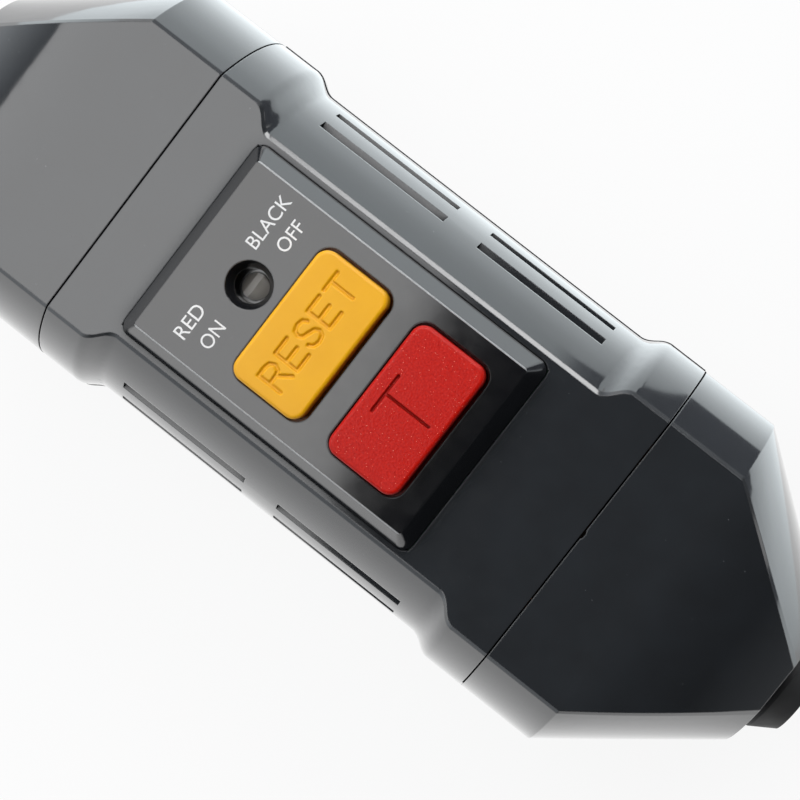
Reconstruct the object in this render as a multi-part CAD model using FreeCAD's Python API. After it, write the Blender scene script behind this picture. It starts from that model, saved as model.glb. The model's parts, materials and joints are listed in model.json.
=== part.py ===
import FreeCAD, Part
import math
import os

# A rewirable in-line residual current device (RCD), all sizes in millimetres.
# +X runs along the body from the supply cable to the load cable, +Z out of the front face.
# The origin is on the flat back, under the middle of the body.

Vector = FreeCAD.Vector

# Housing, measured between opposite outer faces
BODY_DEPTH = 42.0          # flat back to front face
JOINT_LEVEL = 20.0         # where front and rear mouldings meet, the widest level
WAIST_WIDTH = 55.0
WAIST_FACE_WIDTH = 35.3
WAIST_BACK_WIDTH = 44.0
WAIST_LENGTH = 57.6
SHOULDER_LENGTH = 4.9      # run of the S between the waist and a wide end
END_WIDTH = 58.8
END_FACE_WIDTH = 41.2
END_BACK_WIDTH = 48.0
MIDDLE_LENGTH = 79.2       # between the two terminal cover seams
COVER_STRAIGHT = 12.7      # cover side before it turns in
NOSE_LENGTH = 22.7         # the part of a cover that tapers to the cable
NOSE_WIDTH = 23.4
NOSE_FACE_WIDTH = 8.0
NOSE_BACK_WIDTH = 10.0
NOSE_FRONT_DROP = 9.0      # front face falls this much over the nose
NOSE_BACK_RISE = 7.0
EDGE_ROUND = 0.4
WALL = 2.2
WALL_AT_FACE_EDGE = 1.65   # how far the inner face corner is drawn in
RIM_STEP = 0.15            # rear base stands proud of the front shell
SEAM_GAP = 0.25
SHOULDER_STATIONS = 7
NOSE_STATIONS = 5

# Vent slots in both sides of the front shell
VENT_HEIGHT = 1.7
VENT_LENGTH = 22.5
VENT_FROM_CENTRE = 3.0
VENT_TOP_DEPTHS = (6.8, 12.2)   # top edge of each row below the front face

# Pry notch in the seam edge of the load cover
NOTCH_WIDTH = 1.5
NOTCH_DEPTH = 0.25
NOTCH_OFFSET = 1.0

# Raised button panel
PANEL_CENTRE_X = -3.7
PANEL_LENGTH = 47.4
PANEL_WIDTH = 28.8
PANEL_RISE = 4.4
PANEL_STEP = 0.35          # upright edge below the bevel
PANEL_BEVEL = 2.15         # how far the foot spreads beyond the top
PANEL_WALL = 2.0
PANEL_SIDE_WALL = 1.6
PANEL_TOP_CORNER = 0.6
PANEL_GAP = 0.12           # groove between the panel's foot and the shell
HOOK_WIDTH = 5.0
HOOK_SPACING = 16.0
HOOK_THICKNESS = 1.4
HOOK_REACH = 1.0
HOOK_HEIGHT = 1.3

# Buttons
BUTTON_LENGTH = 22.0
BUTTON_WIDTH = 12.1
BUTTON_CORNER = 2.0
BUTTON_EDGE = 0.8
BUTTON_PROUD = 3.0
BUTTON_SKIN = 2.0
BUTTON_GAP = 0.45          # around a button in its opening
BUTTON_LIP = 0.75          # reach of the lip under the panel
BUTTON_LIP_HEIGHT = 1.2
BUTTON_STOP = 0.05
RESET_OFFSET = -2.75       # button centres, from the panel's centre
TEST_OFFSET = 14.05
RESET_TRAVEL = 2.5
TEST_TRAVEL = 1.75
STEM_DIAMETER = 5.0
STEM_CLEARANCE = 0.08
SPRING_GAP = 0.4           # between a spring and what is beside it
SPRING_WALL = 1.0          # thickness of a wound spring's ring

# Indicator window
WINDOW_OFFSET = -14.05
WINDOW_MOUTH_DIAMETER = 6.9
WINDOW_THROAT_DIAMETER = 5.1
WINDOW_SLEEVE_WALL = 1.3
WINDOW_FLOOR_HEIGHT = 0.9  # of the ring round the lens, above the guide plate
LENS_DIAMETER = 3.9
LENS_GAP = 0.05
LENS_HEIGHT = 1.9
LENS_CROWN = 0.8
LENS_RIDGE_WIDTH = 0.9
LENS_RIDGE_OFFSET = -0.35
SIGHT_HOLE_DIAMETER = 3.0

# Guide plate clipped under the panel, which carries the stems and the flag
GUIDE_THICKNESS = 1.6
GUIDE_END_CLEARANCE = 1.6
GUIDE_SIDE_CLEARANCE = 0.5

# Circuit board
BOARD_DROP = 4.2           # guide plate underside to board top
BOARD_THICKNESS = 1.6
BOARD_WEST = -13.0
BOARD_EAST = 30.0
BOARD_WIDTH = 42.0
BOARD_POST_INSET_X = 4.0
BOARD_POST_INSET_Y = 2.4
BOARD_POST_DIAMETER = 4.4
BOARD_PEG_DIAMETER = 2.0
BOARD_PEG_PROUD = 0.4
PEG_CLEARANCE = 0.05
STEM_HOLE_MARGIN = 0.6

# Conductors
STRAP_LEVEL = 13.6         # underside of the copper straps above the back
STRAP_THICKNESS = 0.8
STRAP_WIDTH = 4.0
CONTACT_LINE_Y = 8.5       # the straps beside the contact carrier
SENSOR_LINE_Y = 3.2        # the straps inside the sensing ring
TERMINAL_PITCH = 14.0
TIP_DIAMETER = 3.6
TIP_HEIGHT = 1.2
CONTACT_SPAN = 13.0        # between the two breaks of one pole
CONTACT_CLEARANCE = 0.05
BRIDGE_THICKNESS = 1.0
BRIDGE_WIDTH = 4.0
BRIDGE_OVERHANG = 2.2
STRAP_TIP_OVERHANG = 2.2

# Contact carrier
CARRIER_LENGTH = 10.0
COLUMN_WIDTH = 8.4
WING_HEIGHT = 3.0
CARRIER_FLOOR_CLEARANCE = 0.3
CARRIER_HEAD_CLEARANCE = 1.0
ARM_HEIGHT = 3.0
ARM_WIDTH = 7.0
ARM_OVERHANG = 3.5
GUIDE_POST_DIAMETER = 4.0
GUIDE_POST_HEIGHT = 4.6    # reach of the post into the carrier
GUIDE_BORE_SPARE = 0.6

# Holding solenoid
SOLENOID_FROM_CARRIER = 2.95
YOKE_LENGTH = 14.0
YOKE_WIDTH = 9.0
YOKE_THICKNESS = 1.5
PLUNGER_DIAMETER = 5.0
PLUNGER_NECK_DIAMETER = 3.0
PLUNGER_FIT = 0.05
YOKE_HOLE_CLEARANCE = 0.1
BOBBIN_WALL = 0.7
BOBBIN_FLANGE = 1.0
COIL_DIAMETER = 11.0
POLE_HEIGHT = 6.0
ARM_STOP_CLEARANCE = 0.5

# Sensing ring around the load straps
SENSOR_FROM_YOKE = 5.7
SENSOR_LENGTH = 8.0
SENSOR_DIAMETER = 23.0
SENSOR_BORE = 11.5
WINDING_THICKNESS = 1.4
WINDING_ANGLE = 300.0      # degrees of the ring that are wound
CRADLE_HEIGHT = 4.0
CRADLE_WIDTH = 12.0
CRADLE_GAP = 0.05

# Indicator flag, a rocker tipped by the carrier
FLAG_RADIUS = 10.5         # pivot to the coloured face
FLAG_CLEARANCE = 0.3
FLAG_TILT_ANGLE = 20.0     # degrees over the reset travel
FLAG_HALF_ANGLE = 20.0     # degrees covered on each side of its middle
FLAG_SPARE_ANGLE = 1.0     # how far the patch's recess is cut past its end
FLAG_WIDTH = 4.4
FLAG_SKIN = 1.2
FLAG_WEB = 1.6
FLAG_PATCH = 0.3
FLAG_HUB_DIAMETER = 4.0
FLAG_TAIL_PIN_DIAMETER = 1.4
FLAG_TAIL_THICKNESS = 0.7
FLAG_PIN_DIAMETER = 1.6
FLAG_PIN_FIT = 0.05
FLAG_EAR_THICKNESS = 1.6
FLAG_EAR_GAP = 0.3
FORK_CLEARANCE = 0.25

# Terminals
TERMINAL_FROM_SEAM = 6.9   # seam to the terminal's middle
TERMINAL_LENGTH = 9.0
TERMINAL_WIDTH = 8.0
TERMINAL_HEIGHT = 9.0
WIRE_HOLE_DIAMETER = 3.8
WIRE_HOLE_LEVEL = 3.4
TERMINAL_SCREW_DIAMETER = 3.4
TERMINAL_HEAD_DIAMETER = 6.0
TERMINAL_HEAD_HEIGHT = 2.0
PEDESTAL_LENGTH = 7.0
PEDESTAL_WIDTH = 6.0
BARRIER = 1.8              # wall between the middle and a terminal chamber
STRAP_SLOT_MARGIN = 0.3

# Screws, bosses and the cord clamps
SCREW_DIAMETER = 2.9
SCREW_HEAD_DIAMETER = 5.6
SCREW_HEAD_HEIGHT = 2.0
SCREW_FIT = 0.1
SCREW_SEAT_LEVEL = 10.0    # underside of the sunk screw heads' seats
SCREW_BITE = 8.0           # length held above the joint level
SCREW_BITE_SPARE = 1.0
BOSS_WALL = 1.3
HOUSING_SCREW_PAST_SHOULDER = 0.8
HOUSING_SCREW_STRAP_GAP = 0.65   # between a screw's boss and the outer straps
COVER_SCREW_FROM_SEAM = 16.4
COVER_SCREW_Y = 7.0
CLAMP_FROM_SEAM = 24.6
CLAMP_LENGTH = 6.0
CLAMP_HEAD_GAP = 0.4       # between a clamp screw's head and the hump
CLAMP_END = 3.2
CLAMP_CROWN = 2.2
CLAMP_POST_DIAMETER = 5.6
CLAMP_SCREW_DEPTH = 9.0
CABLE_DIAMETER = 8.4

# Cable grommets
END_WALL = 2.5
GROMMET_NECK_DIAMETER = 13.0
GROMMET_FLANGE_DIAMETER = 16.0
GROMMET_FLANGE = 1.5
GROMMET_TIP_DIAMETER = 11.4
GROMMET_TIP_LENGTH = 3.6
GROMMET_FIT = 0.05

# Small electronic parts on the board
CHIP_SIZE = (9.8, 6.4, 1.8)
CHIP_PLACE = (23.0, 0.0)
CAPACITOR_SIZE = (12.0, 6.0, 5.6)
CAPACITOR_PLACE = (22.5, 9.0)
VARISTOR_DIAMETER = 9.0
VARISTOR_THICKNESS = 3.4
VARISTOR_PLACE = (22.5, -9.0)
RESISTOR_DIAMETER = 2.4
RESISTOR_LENGTH = 6.6
RESISTOR_PLACE = (2.0, -15.0)
TEST_CONTACT_SPAN = 6.0
TEST_CONTACT_DIAMETER = 1.8
TEST_BRIDGE_LENGTH = 9.0
TEST_BRIDGE_WIDTH = 2.4
TEST_BRIDGE_THICKNESS = 0.5
TEST_BRIDGE_CLEARANCE = 0.5

# Levels and places that follow from the sizes above
WAIST_WIDTHS = (WAIST_WIDTH, WAIST_FACE_WIDTH, WAIST_BACK_WIDTH)
END_WIDTHS = (END_WIDTH, END_FACE_WIDTH, END_BACK_WIDTH)
NOSE_WIDTHS = (NOSE_WIDTH, NOSE_FACE_WIDTH, NOSE_BACK_WIDTH)
FLAT_LEVELS = (BODY_DEPTH, 0.0)
SEAM_X = MIDDLE_LENGTH / 2
STRAIGHT_END_X = SEAM_X + COVER_STRAIGHT
BODY_END_X = STRAIGHT_END_X + NOSE_LENGTH
FLOOR = WALL
LEDGE = BODY_DEPTH - WALL
PANEL_TOP = BODY_DEPTH + PANEL_RISE
PANEL_ROOF = PANEL_TOP - PANEL_WALL
PANEL_FOOT_LENGTH = PANEL_LENGTH + 2 * PANEL_BEVEL
PANEL_FOOT_WIDTH = PANEL_WIDTH + 2 * PANEL_BEVEL
BUTTON_TOP = PANEL_TOP + BUTTON_PROUD
BUTTON_CEILING = BUTTON_TOP - BUTTON_SKIN
GUIDE_TOP = LEDGE
GUIDE_BOTTOM = GUIDE_TOP - GUIDE_THICKNESS
BOARD_TOP = GUIDE_BOTTOM - BOARD_DROP
BOARD_BOTTOM = BOARD_TOP - BOARD_THICKNESS
BUTTON_SPRING_BORE = STEM_DIAMETER + 2 * SPRING_GAP
RESET_X = PANEL_CENTRE_X + RESET_OFFSET
TEST_X = PANEL_CENTRE_X + TEST_OFFSET
WINDOW_X = PANEL_CENTRE_X + WINDOW_OFFSET
STRAP_TOP = STRAP_LEVEL + STRAP_THICKNESS
FIXED_TIP_TOP = STRAP_TOP + TIP_HEIGHT
MOVING_TIP_BOTTOM = FIXED_TIP_TOP + RESET_TRAVEL + CONTACT_CLEARANCE
BRIDGE_BOTTOM = MOVING_TIP_BOTTOM + TIP_HEIGHT
BRIDGE_TOP = BRIDGE_BOTTOM + BRIDGE_THICKNESS
CARRIER_BOTTOM = STRAP_TOP + RESET_TRAVEL + CARRIER_FLOOR_CLEARANCE
CARRIER_TOP = BOARD_BOTTOM - CARRIER_HEAD_CLEARANCE
ARM_BOTTOM = CARRIER_TOP - ARM_HEIGHT
YOKE_TOP = ARM_BOTTOM - RESET_TRAVEL - ARM_STOP_CLEARANCE
FLAG_PIVOT_Z = GUIDE_BOTTOM - FLAG_CLEARANCE - FLAG_RADIUS
FLAG_TAIL = RESET_TRAVEL / 2 / math.sin(math.radians(FLAG_TILT_ANGLE / 2))
SOLENOID_X = RESET_X + CARRIER_LENGTH / 2 + SOLENOID_FROM_CARRIER + YOKE_LENGTH / 2
SENSOR_X = SOLENOID_X + YOKE_LENGTH / 2 + SENSOR_FROM_YOKE + SENSOR_LENGTH / 2
SENSOR_Z = STRAP_LEVEL + STRAP_THICKNESS / 2
TERMINAL_X = SEAM_X + TERMINAL_FROM_SEAM
STRAP_END_X = TERMINAL_X + TERMINAL_LENGTH / 2
TERMINAL_TOP = STRAP_TOP + TERMINAL_HEIGHT
COVER_SCREW_X = SEAM_X + COVER_SCREW_FROM_SEAM
CLAMP_X = SEAM_X + CLAMP_FROM_SEAM
CLAMP_HUMP_WIDTH = CABLE_DIAMETER + 2 * CLAMP_CROWN
CLAMP_SPAN = CLAMP_HUMP_WIDTH + SCREW_HEAD_DIAMETER + 2 * CLAMP_HEAD_GAP
BOARD_CENTRE_X = (BOARD_WEST + BOARD_EAST) / 2
BOARD_LENGTH = BOARD_EAST - BOARD_WEST
SCREW_BOSS_DIAMETER = SCREW_DIAMETER + 2 * SCREW_FIT + 2 * BOSS_WALL
SUNK_BOSS_DIAMETER = SCREW_HEAD_DIAMETER + 2 * SCREW_FIT + 2 * BOSS_WALL
HOUSING_SCREW_X = WAIST_LENGTH / 2 + SHOULDER_LENGTH + HOUSING_SCREW_PAST_SHOULDER
HOUSING_SCREW_Y = TERMINAL_PITCH + STRAP_WIDTH / 2 + HOUSING_SCREW_STRAP_GAP + SCREW_BOSS_DIAMETER / 2
SCREW_TIP_LEVEL = JOINT_LEVEL + SCREW_BITE
TEST_STEM_BOTTOM = GUIDE_BOTTOM - TEST_BRIDGE_CLEARANCE
TEST_BRIDGE_BOTTOM = TEST_STEM_BOTTOM - TEST_BRIDGE_THICKNESS
BEYOND = 5.0               # how far a cutting shape runs past what it cuts


# Simple shapes

def block(x0, x1, y0, y1, z0, z1):
    return Part.makeBox(x1 - x0, y1 - y0, z1 - z0, Vector(x0, y0, z0))


def centred_block(x, y, length, width, z0, z1):
    return block(x - length / 2, x + length / 2, y - width / 2, y + width / 2, z0, z1)


def upright(x, y, diameter, z0, z1):
    return Part.makeCylinder(diameter / 2, z1 - z0, Vector(x, y, z0))


def upright_ring(x, y, inner, outer, z0, z1):
    return upright(x, y, outer, z0, z1).cut(upright(x, y, inner, z0, z1))


def along_x(y, z, diameter, x0, x1):
    return Part.makeCylinder(diameter / 2, x1 - x0, Vector(x0, y, z), Vector(1, 0, 0))


def along_y(x, z, diameter, y0, y1):
    return Part.makeCylinder(diameter / 2, y1 - y0, Vector(x, y0, z), Vector(0, 1, 0))


def mirrored(shape):
    """The same shape at the other end of the body."""
    return shape.mirror(Vector(0, 0, 0), Vector(1, 0, 0))


def joined(shapes):
    whole = shapes[0].fuse(shapes[1:])
    return whole.removeSplitter()


def grown(body, additions):
    """Body with the additions fused on one after another."""
    for addition in additions:
        body = body.fuse(addition)
    return body.removeSplitter()


def group(shapes):
    return Part.makeCompound(shapes)


def both_sides(y):
    return (-y, y)


# Rounded rectangles

def rounded_wire(x, y, length, width, corner, z):
    half_l = length / 2
    half_w = width / 2
    edges = []
    for quarter in range(4):
        turn = math.radians(90 * quarter)
        reach = half_l if quarter % 2 == 0 else half_w
        side = half_w if quarter % 2 == 0 else half_l
        axis = Vector(math.cos(turn), math.sin(turn), 0)
        across = Vector(-math.sin(turn), math.cos(turn), 0)
        middle = Vector(x, y, z)
        start = middle + axis * reach - across * (side - corner)
        end = middle + axis * reach + across * (side - corner)
        edges.append(Part.makeLine(start, end))
        centre = middle + axis * (reach - corner) + across * (side - corner)
        bend = centre + (axis + across) * (corner * math.sqrt(0.5))
        leave = centre + across * corner
        edges.append(Part.Arc(end, bend, leave).toShape())
    return Part.Wire(edges)


def rounded_block(x, y, length, width, corner, z0, z1):
    face = Part.Face(rounded_wire(x, y, length, width, corner, z0))
    return face.extrude(Vector(0, 0, z1 - z0))


def tapered_block(x, y, low, high):
    """Solid between two rounded rectangles, each given as (length, width, corner, level)."""
    return Part.makeLoft([rounded_wire(x, y, *low), rounded_wire(x, y, *high)], True, True)


# The housing's outer form

def bow_radius(half_width, half_face, height):
    """Radius of a side that is upright at the joint and meets the face's edge."""
    run = half_width - half_face
    return (run * run + height * height) / (2 * run)


def bow_half_width(half_width, half_face, level, face_level):
    """Half-width of the bowed side at a level between the joint and a face."""
    radius = bow_radius(half_width, half_face, abs(face_level - JOINT_LEVEL))
    height = level - JOINT_LEVEL
    return half_width - radius + math.sqrt(radius * radius - height * height)


def section_wire(x, width, face_width, back_width, front, back, edge):
    """Cross-section at x: flat front and back, bowed sides, small edge facets."""
    half_width = width / 2

    def at(side, point):
        return Vector(x, side * point[0], point[1])

    def half_profile(face_half, face_level):
        """Points from the face's edge down one side to the joint."""
        inward = 1 if face_level > JOINT_LEVEL else -1
        corner_level = face_level - inward * edge
        middle_level = (corner_level + JOINT_LEVEL) / 2
        corner = (bow_half_width(half_width, face_half, corner_level, face_level), corner_level)
        middle = (bow_half_width(half_width, face_half, middle_level, face_level), middle_level)
        return (face_half - edge / 2, face_level), corner, middle

    joint = (half_width, JOINT_LEVEL)
    face_end, face_corner, face_middle = half_profile(face_width / 2, front)
    back_end, back_corner, back_middle = half_profile(back_width / 2, back)
    edges = [
        Part.makeLine(at(-1, face_end), at(1, face_end)),
        Part.makeLine(at(1, face_end), at(1, face_corner)),
        Part.Arc(at(1, face_corner), at(1, face_middle), at(1, joint)).toShape(),
        Part.Arc(at(1, joint), at(1, back_middle), at(1, back_corner)).toShape(),
        Part.makeLine(at(1, back_corner), at(1, back_end)),
        Part.makeLine(at(1, back_end), at(-1, back_end)),
        Part.makeLine(at(-1, back_end), at(-1, back_corner)),
        Part.Arc(at(-1, back_corner), at(-1, back_middle), at(-1, joint)).toShape(),
        Part.Arc(at(-1, joint), at(-1, face_middle), at(-1, face_corner)).toShape(),
        Part.makeLine(at(-1, face_corner), at(-1, face_end))]
    return Part.Wire(edges)


def inset_section(x, widths, levels, inset):
    """The outer section, or with an inset the cavity's section inside its walls."""
    width, face_width, back_width = widths
    front, back = levels
    drawn_in = 2 * WALL_AT_FACE_EDGE * inset / WALL
    edge = EDGE_ROUND if inset < WALL else EDGE_ROUND / 2
    return section_wire(x, width - 2 * inset, face_width - drawn_in, back_width - drawn_in,
                        front - inset, back + inset, edge)


def blended(first, second, part):
    return tuple(a + (b - a) * part for a, b in zip(first, second))


def straight_run(x0, x1, widths, inset):
    face = Part.Face(inset_section(x0, widths, FLAT_LEVELS, inset))
    return face.extrude(Vector(x1 - x0, 0, 0))


def shoulder_run(inset):
    """S-shaped change from the waist's section to the wide end's."""
    sections = []
    for station in range(SHOULDER_STATIONS):
        part = station / (SHOULDER_STATIONS - 1)
        eased = part ** 3 * (10 - 15 * part + 6 * part ** 2)
        x = WAIST_LENGTH / 2 + SHOULDER_LENGTH * part
        sections.append(inset_section(x, blended(WAIST_WIDTHS, END_WIDTHS, eased), FLAT_LEVELS, inset))
    return Part.makeLoft(sections, True, False)


def nose_run(inset, x_end):
    """Tapering end of a cover, from the straight part to x_end."""
    sections = []
    for station in range(NOSE_STATIONS):
        x = STRAIGHT_END_X + (x_end - STRAIGHT_END_X) * station / (NOSE_STATIONS - 1)
        part = (x - STRAIGHT_END_X) / NOSE_LENGTH
        levels = (BODY_DEPTH - NOSE_FRONT_DROP * part * part, NOSE_BACK_RISE * part * part)
        sections.append(inset_section(x, blended(END_WIDTHS, NOSE_WIDTHS, part), levels, inset))
    return Part.makeLoft(sections, True, False)


def middle_form(inset, half_length):
    """Waisted middle of the housing out to half_length at both ends."""
    shoulder_end = WAIST_LENGTH / 2 + SHOULDER_LENGTH
    shoulder = shoulder_run(inset)
    wide = straight_run(shoulder_end, half_length, END_WIDTHS, inset)
    waist = straight_run(-WAIST_LENGTH / 2, WAIST_LENGTH / 2, WAIST_WIDTHS, inset)
    return joined([waist, shoulder, wide, mirrored(shoulder), mirrored(wide)])


def end_form(inset, x_start, x_end):
    """Load end of the housing, from x_start through the nose."""
    wide = straight_run(x_start, STRAIGHT_END_X, END_WIDTHS, inset)
    return joined([wide, nose_run(inset, x_end)])


def above_joint():
    reach = BODY_END_X + BEYOND
    return centred_block(0, 0, 2 * reach, END_WIDTH + 2 * BEYOND, JOINT_LEVEL, BODY_DEPTH + BEYOND)


def below_joint():
    reach = BODY_END_X + BEYOND
    return centred_block(0, 0, 2 * reach, END_WIDTH + 2 * BEYOND, -BEYOND, JOINT_LEVEL)


def grommet_hole():
    return along_x(0, JOINT_LEVEL, GROMMET_NECK_DIAMETER, BODY_END_X - END_WALL - BEYOND,
                   BODY_END_X + BEYOND)


# Front shell and terminal covers

def vent_slots():
    """Two rows of two slots through each bowed side."""
    slots = []
    for depth in VENT_TOP_DEPTHS:
        top = BODY_DEPTH - depth
        for start in (VENT_FROM_CENTRE, -VENT_FROM_CENTRE - VENT_LENGTH):
            slots.append(block(start, start + VENT_LENGTH, -END_WIDTH, END_WIDTH, top - VENT_HEIGHT, top))
    return slots


def screw_pilot(x, y):
    """Hole that the screw's tip bites into, above the joint level."""
    return upright(x, y, SCREW_DIAMETER + 2 * SCREW_FIT, JOINT_LEVEL - BEYOND,
                   SCREW_TIP_LEVEL + SCREW_BITE_SPARE)


def hanging_bosses(places, outer):
    """Bosses from the front wall down to the joint level, kept inside the outer form."""
    return [upright(x, y, SCREW_BOSS_DIAMETER, JOINT_LEVEL, BODY_DEPTH).common(outer) for x, y in places]


def front_shell():
    outer = middle_form(0, SEAM_X)
    cavity = middle_form(WALL, SEAM_X - BARRIER)
    places = [(x, y) for x in both_sides(HOUSING_SCREW_X) for y in both_sides(HOUSING_SCREW_Y)]
    hollow = outer.cut(cavity)
    shell = joined([hollow] + hanging_bosses(places, outer)).common(above_joint())
    opening = rounded_block(
        PANEL_CENTRE_X, 0, PANEL_FOOT_LENGTH + 2 * PANEL_GAP, PANEL_FOOT_WIDTH + 2 * PANEL_GAP,
        PANEL_TOP_CORNER + PANEL_BEVEL / 2 + PANEL_GAP, LEDGE, BODY_DEPTH + BEYOND)
    through = centred_block(
        PANEL_CENTRE_X, 0, PANEL_FOOT_LENGTH, WAIST_FACE_WIDTH - 2 * WALL_AT_FACE_EDGE,
        LEDGE - BEYOND / 2, BODY_DEPTH)
    cutters = vent_slots() + [opening, through.common(middle_form(0, SEAM_X))]
    for x, y in places:
        cutters.append(screw_pilot(x, y))
    return shell.cut(cutters)


def terminal_cover():
    """Cover over the load terminals; the supply cover is its mirror image without the notch."""
    start = SEAM_X + SEAM_GAP
    outer = end_form(0, start, BODY_END_X)
    cavity = end_form(WALL, start - BEYOND, BODY_END_X - END_WALL)
    places = [(COVER_SCREW_X, y) for y in both_sides(COVER_SCREW_Y)]
    cover = joined([outer.cut(cavity)] + hanging_bosses(places, outer)).common(above_joint())
    cutters = [grommet_hole()]
    for x, y in places:
        cutters.append(screw_pilot(x, y))
    return cover.cut(cutters)


def pry_notch():
    """Shallow curved notch in the seam edge of the load cover's face."""
    radius = (NOTCH_DEPTH ** 2 + (NOTCH_WIDTH / 2) ** 2) / (2 * NOTCH_DEPTH)
    centre_x = SEAM_X + SEAM_GAP + NOTCH_DEPTH - radius
    return upright(centre_x, NOTCH_OFFSET, 2 * radius, LEDGE, BODY_DEPTH + BEYOND)


# Rear base

def sunk_screw_hole(x, y):
    """Clearance hole with the deep counterbore that the head drops into."""
    bore = upright(x, y, SCREW_DIAMETER + 2 * SCREW_FIT, -BEYOND, JOINT_LEVEL + BEYOND)
    counterbore = upright(x, y, SCREW_HEAD_DIAMETER + 2 * SCREW_FIT, -BEYOND, SCREW_SEAT_LEVEL)
    return [bore, counterbore]


def screw_places():
    housing = [(x, y) for x in both_sides(HOUSING_SCREW_X) for y in both_sides(HOUSING_SCREW_Y)]
    cover = [(x, y) for x in both_sides(COVER_SCREW_X) for y in both_sides(COVER_SCREW_Y)]
    return housing, cover


def board_post_places():
    half_x = BOARD_LENGTH / 2 - BOARD_POST_INSET_X
    half_y = BOARD_WIDTH / 2 - BOARD_POST_INSET_Y
    return [(BOARD_CENTRE_X + x, y) for x in both_sides(half_x) for y in both_sides(half_y)]


def clamp_post_places():
    return [(x, y) for x in both_sides(CLAMP_X) for y in both_sides(CLAMP_SPAN / 2)]


def terminal_places(x):
    return [(x, y) for y in (-TERMINAL_PITCH, 0, TERMINAL_PITCH)]


def base_inner_features():
    """Bosses, posts, pedestals, cradle and barriers that stand on the base's floor."""
    features = []
    housing, cover = screw_places()
    for x, y in housing + cover:
        features.append(upright(x, y, SCREW_BOSS_DIAMETER, 0, JOINT_LEVEL))
        features.append(upright(x, y, SUNK_BOSS_DIAMETER, 0, SCREW_SEAT_LEVEL + BOSS_WALL))
    for x, y in board_post_places():
        features.append(upright(x, y, BOARD_POST_DIAMETER, 0, BOARD_BOTTOM))
        features.append(upright(x, y, BOARD_PEG_DIAMETER, BOARD_BOTTOM, BOARD_TOP + BOARD_PEG_PROUD))
    for x, y in clamp_post_places():
        features.append(upright(x, y, CLAMP_POST_DIAMETER, 0, JOINT_LEVEL))
    for end in both_sides(TERMINAL_X):
        for x, y in terminal_places(end):
            features.append(centred_block(x, y, PEDESTAL_LENGTH, PEDESTAL_WIDTH, 0, STRAP_LEVEL))
    for end in both_sides(SEAM_X - BARRIER / 2):
        features.append(centred_block(end, 0, BARRIER, END_WIDTH, 0, JOINT_LEVEL))
    features.append(upright(RESET_X, 0, GUIDE_POST_DIAMETER, 0, CARRIER_BOTTOM + GUIDE_POST_HEIGHT))
    cradle = centred_block(SENSOR_X, 0, SENSOR_LENGTH, CRADLE_WIDTH, 0, FLOOR + CRADLE_HEIGHT)
    ring = along_x(0, SENSOR_Z, SENSOR_DIAMETER + 2 * CRADLE_GAP,
                   SENSOR_X - SENSOR_LENGTH, SENSOR_X + SENSOR_LENGTH)
    features.append(cradle.cut(ring))
    return features


def rear_base():
    rim = middle_form(-RIM_STEP, SEAM_X).common(
        centred_block(0, 0, MIDDLE_LENGTH, 2 * END_WIDTH, JOINT_LEVEL - WALL, JOINT_LEVEL))
    end = end_form(0, SEAM_X, BODY_END_X)
    outer = joined([middle_form(0, SEAM_X), end, mirrored(end)])
    cavity_end = end_form(WALL, SEAM_X - BEYOND, BODY_END_X - END_WALL)
    cavity = joined([middle_form(WALL, SEAM_X), cavity_end, mirrored(cavity_end)])
    tray = outer.cut(cavity).common(below_joint())
    features = [feature.common(outer) for feature in base_inner_features()]
    base = grown(tray, features + [rim.cut(cavity)])
    cutters = [grommet_hole(), mirrored(grommet_hole())]
    housing, cover = screw_places()
    for x, y in housing + cover:
        cutters += sunk_screw_hole(x, y)
    for x, y in clamp_post_places():
        pilot = SCREW_DIAMETER + 2 * SCREW_FIT
        cutters.append(upright(x, y, pilot, JOINT_LEVEL - CLAMP_SCREW_DEPTH, JOINT_LEVEL + BEYOND))
    for end_x in both_sides(SEAM_X - BARRIER / 2):
        for x, y in terminal_places(end_x):
            cutters.append(centred_block(
                x, y, 2 * BARRIER, STRAP_WIDTH + 2 * STRAP_SLOT_MARGIN,
                STRAP_LEVEL - STRAP_SLOT_MARGIN, STRAP_TOP + STRAP_SLOT_MARGIN))
    return base.cut(cutters)


# Screws

def screw(x, y, diameter, head_diameter, head_level, head_height, tip_level):
    """Pan-head screw whose head stands away from its tip."""
    if tip_level > head_level:
        head = upright(x, y, head_diameter, head_level - head_height, head_level)
        shank = upright(x, y, diameter, head_level, tip_level)
    else:
        head = upright(x, y, head_diameter, head_level, head_level + head_height)
        shank = upright(x, y, diameter, tip_level, head_level)
    return head.fuse(shank).removeSplitter()


def sunk_screws(places):
    screws = []
    for x, y in places:
        screws.append(screw(x, y, SCREW_DIAMETER, SCREW_HEAD_DIAMETER, SCREW_SEAT_LEVEL,
                            SCREW_HEAD_HEIGHT, SCREW_TIP_LEVEL))
    return group(screws)


# Button panel, guide plate and lens

def button_opening(x):
    return rounded_block(
        x, 0, BUTTON_WIDTH + 2 * BUTTON_GAP, BUTTON_LENGTH + 2 * BUTTON_GAP,
        BUTTON_CORNER + BUTTON_GAP, PANEL_ROOF - BEYOND / 2, PANEL_TOP + BEYOND)


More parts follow.
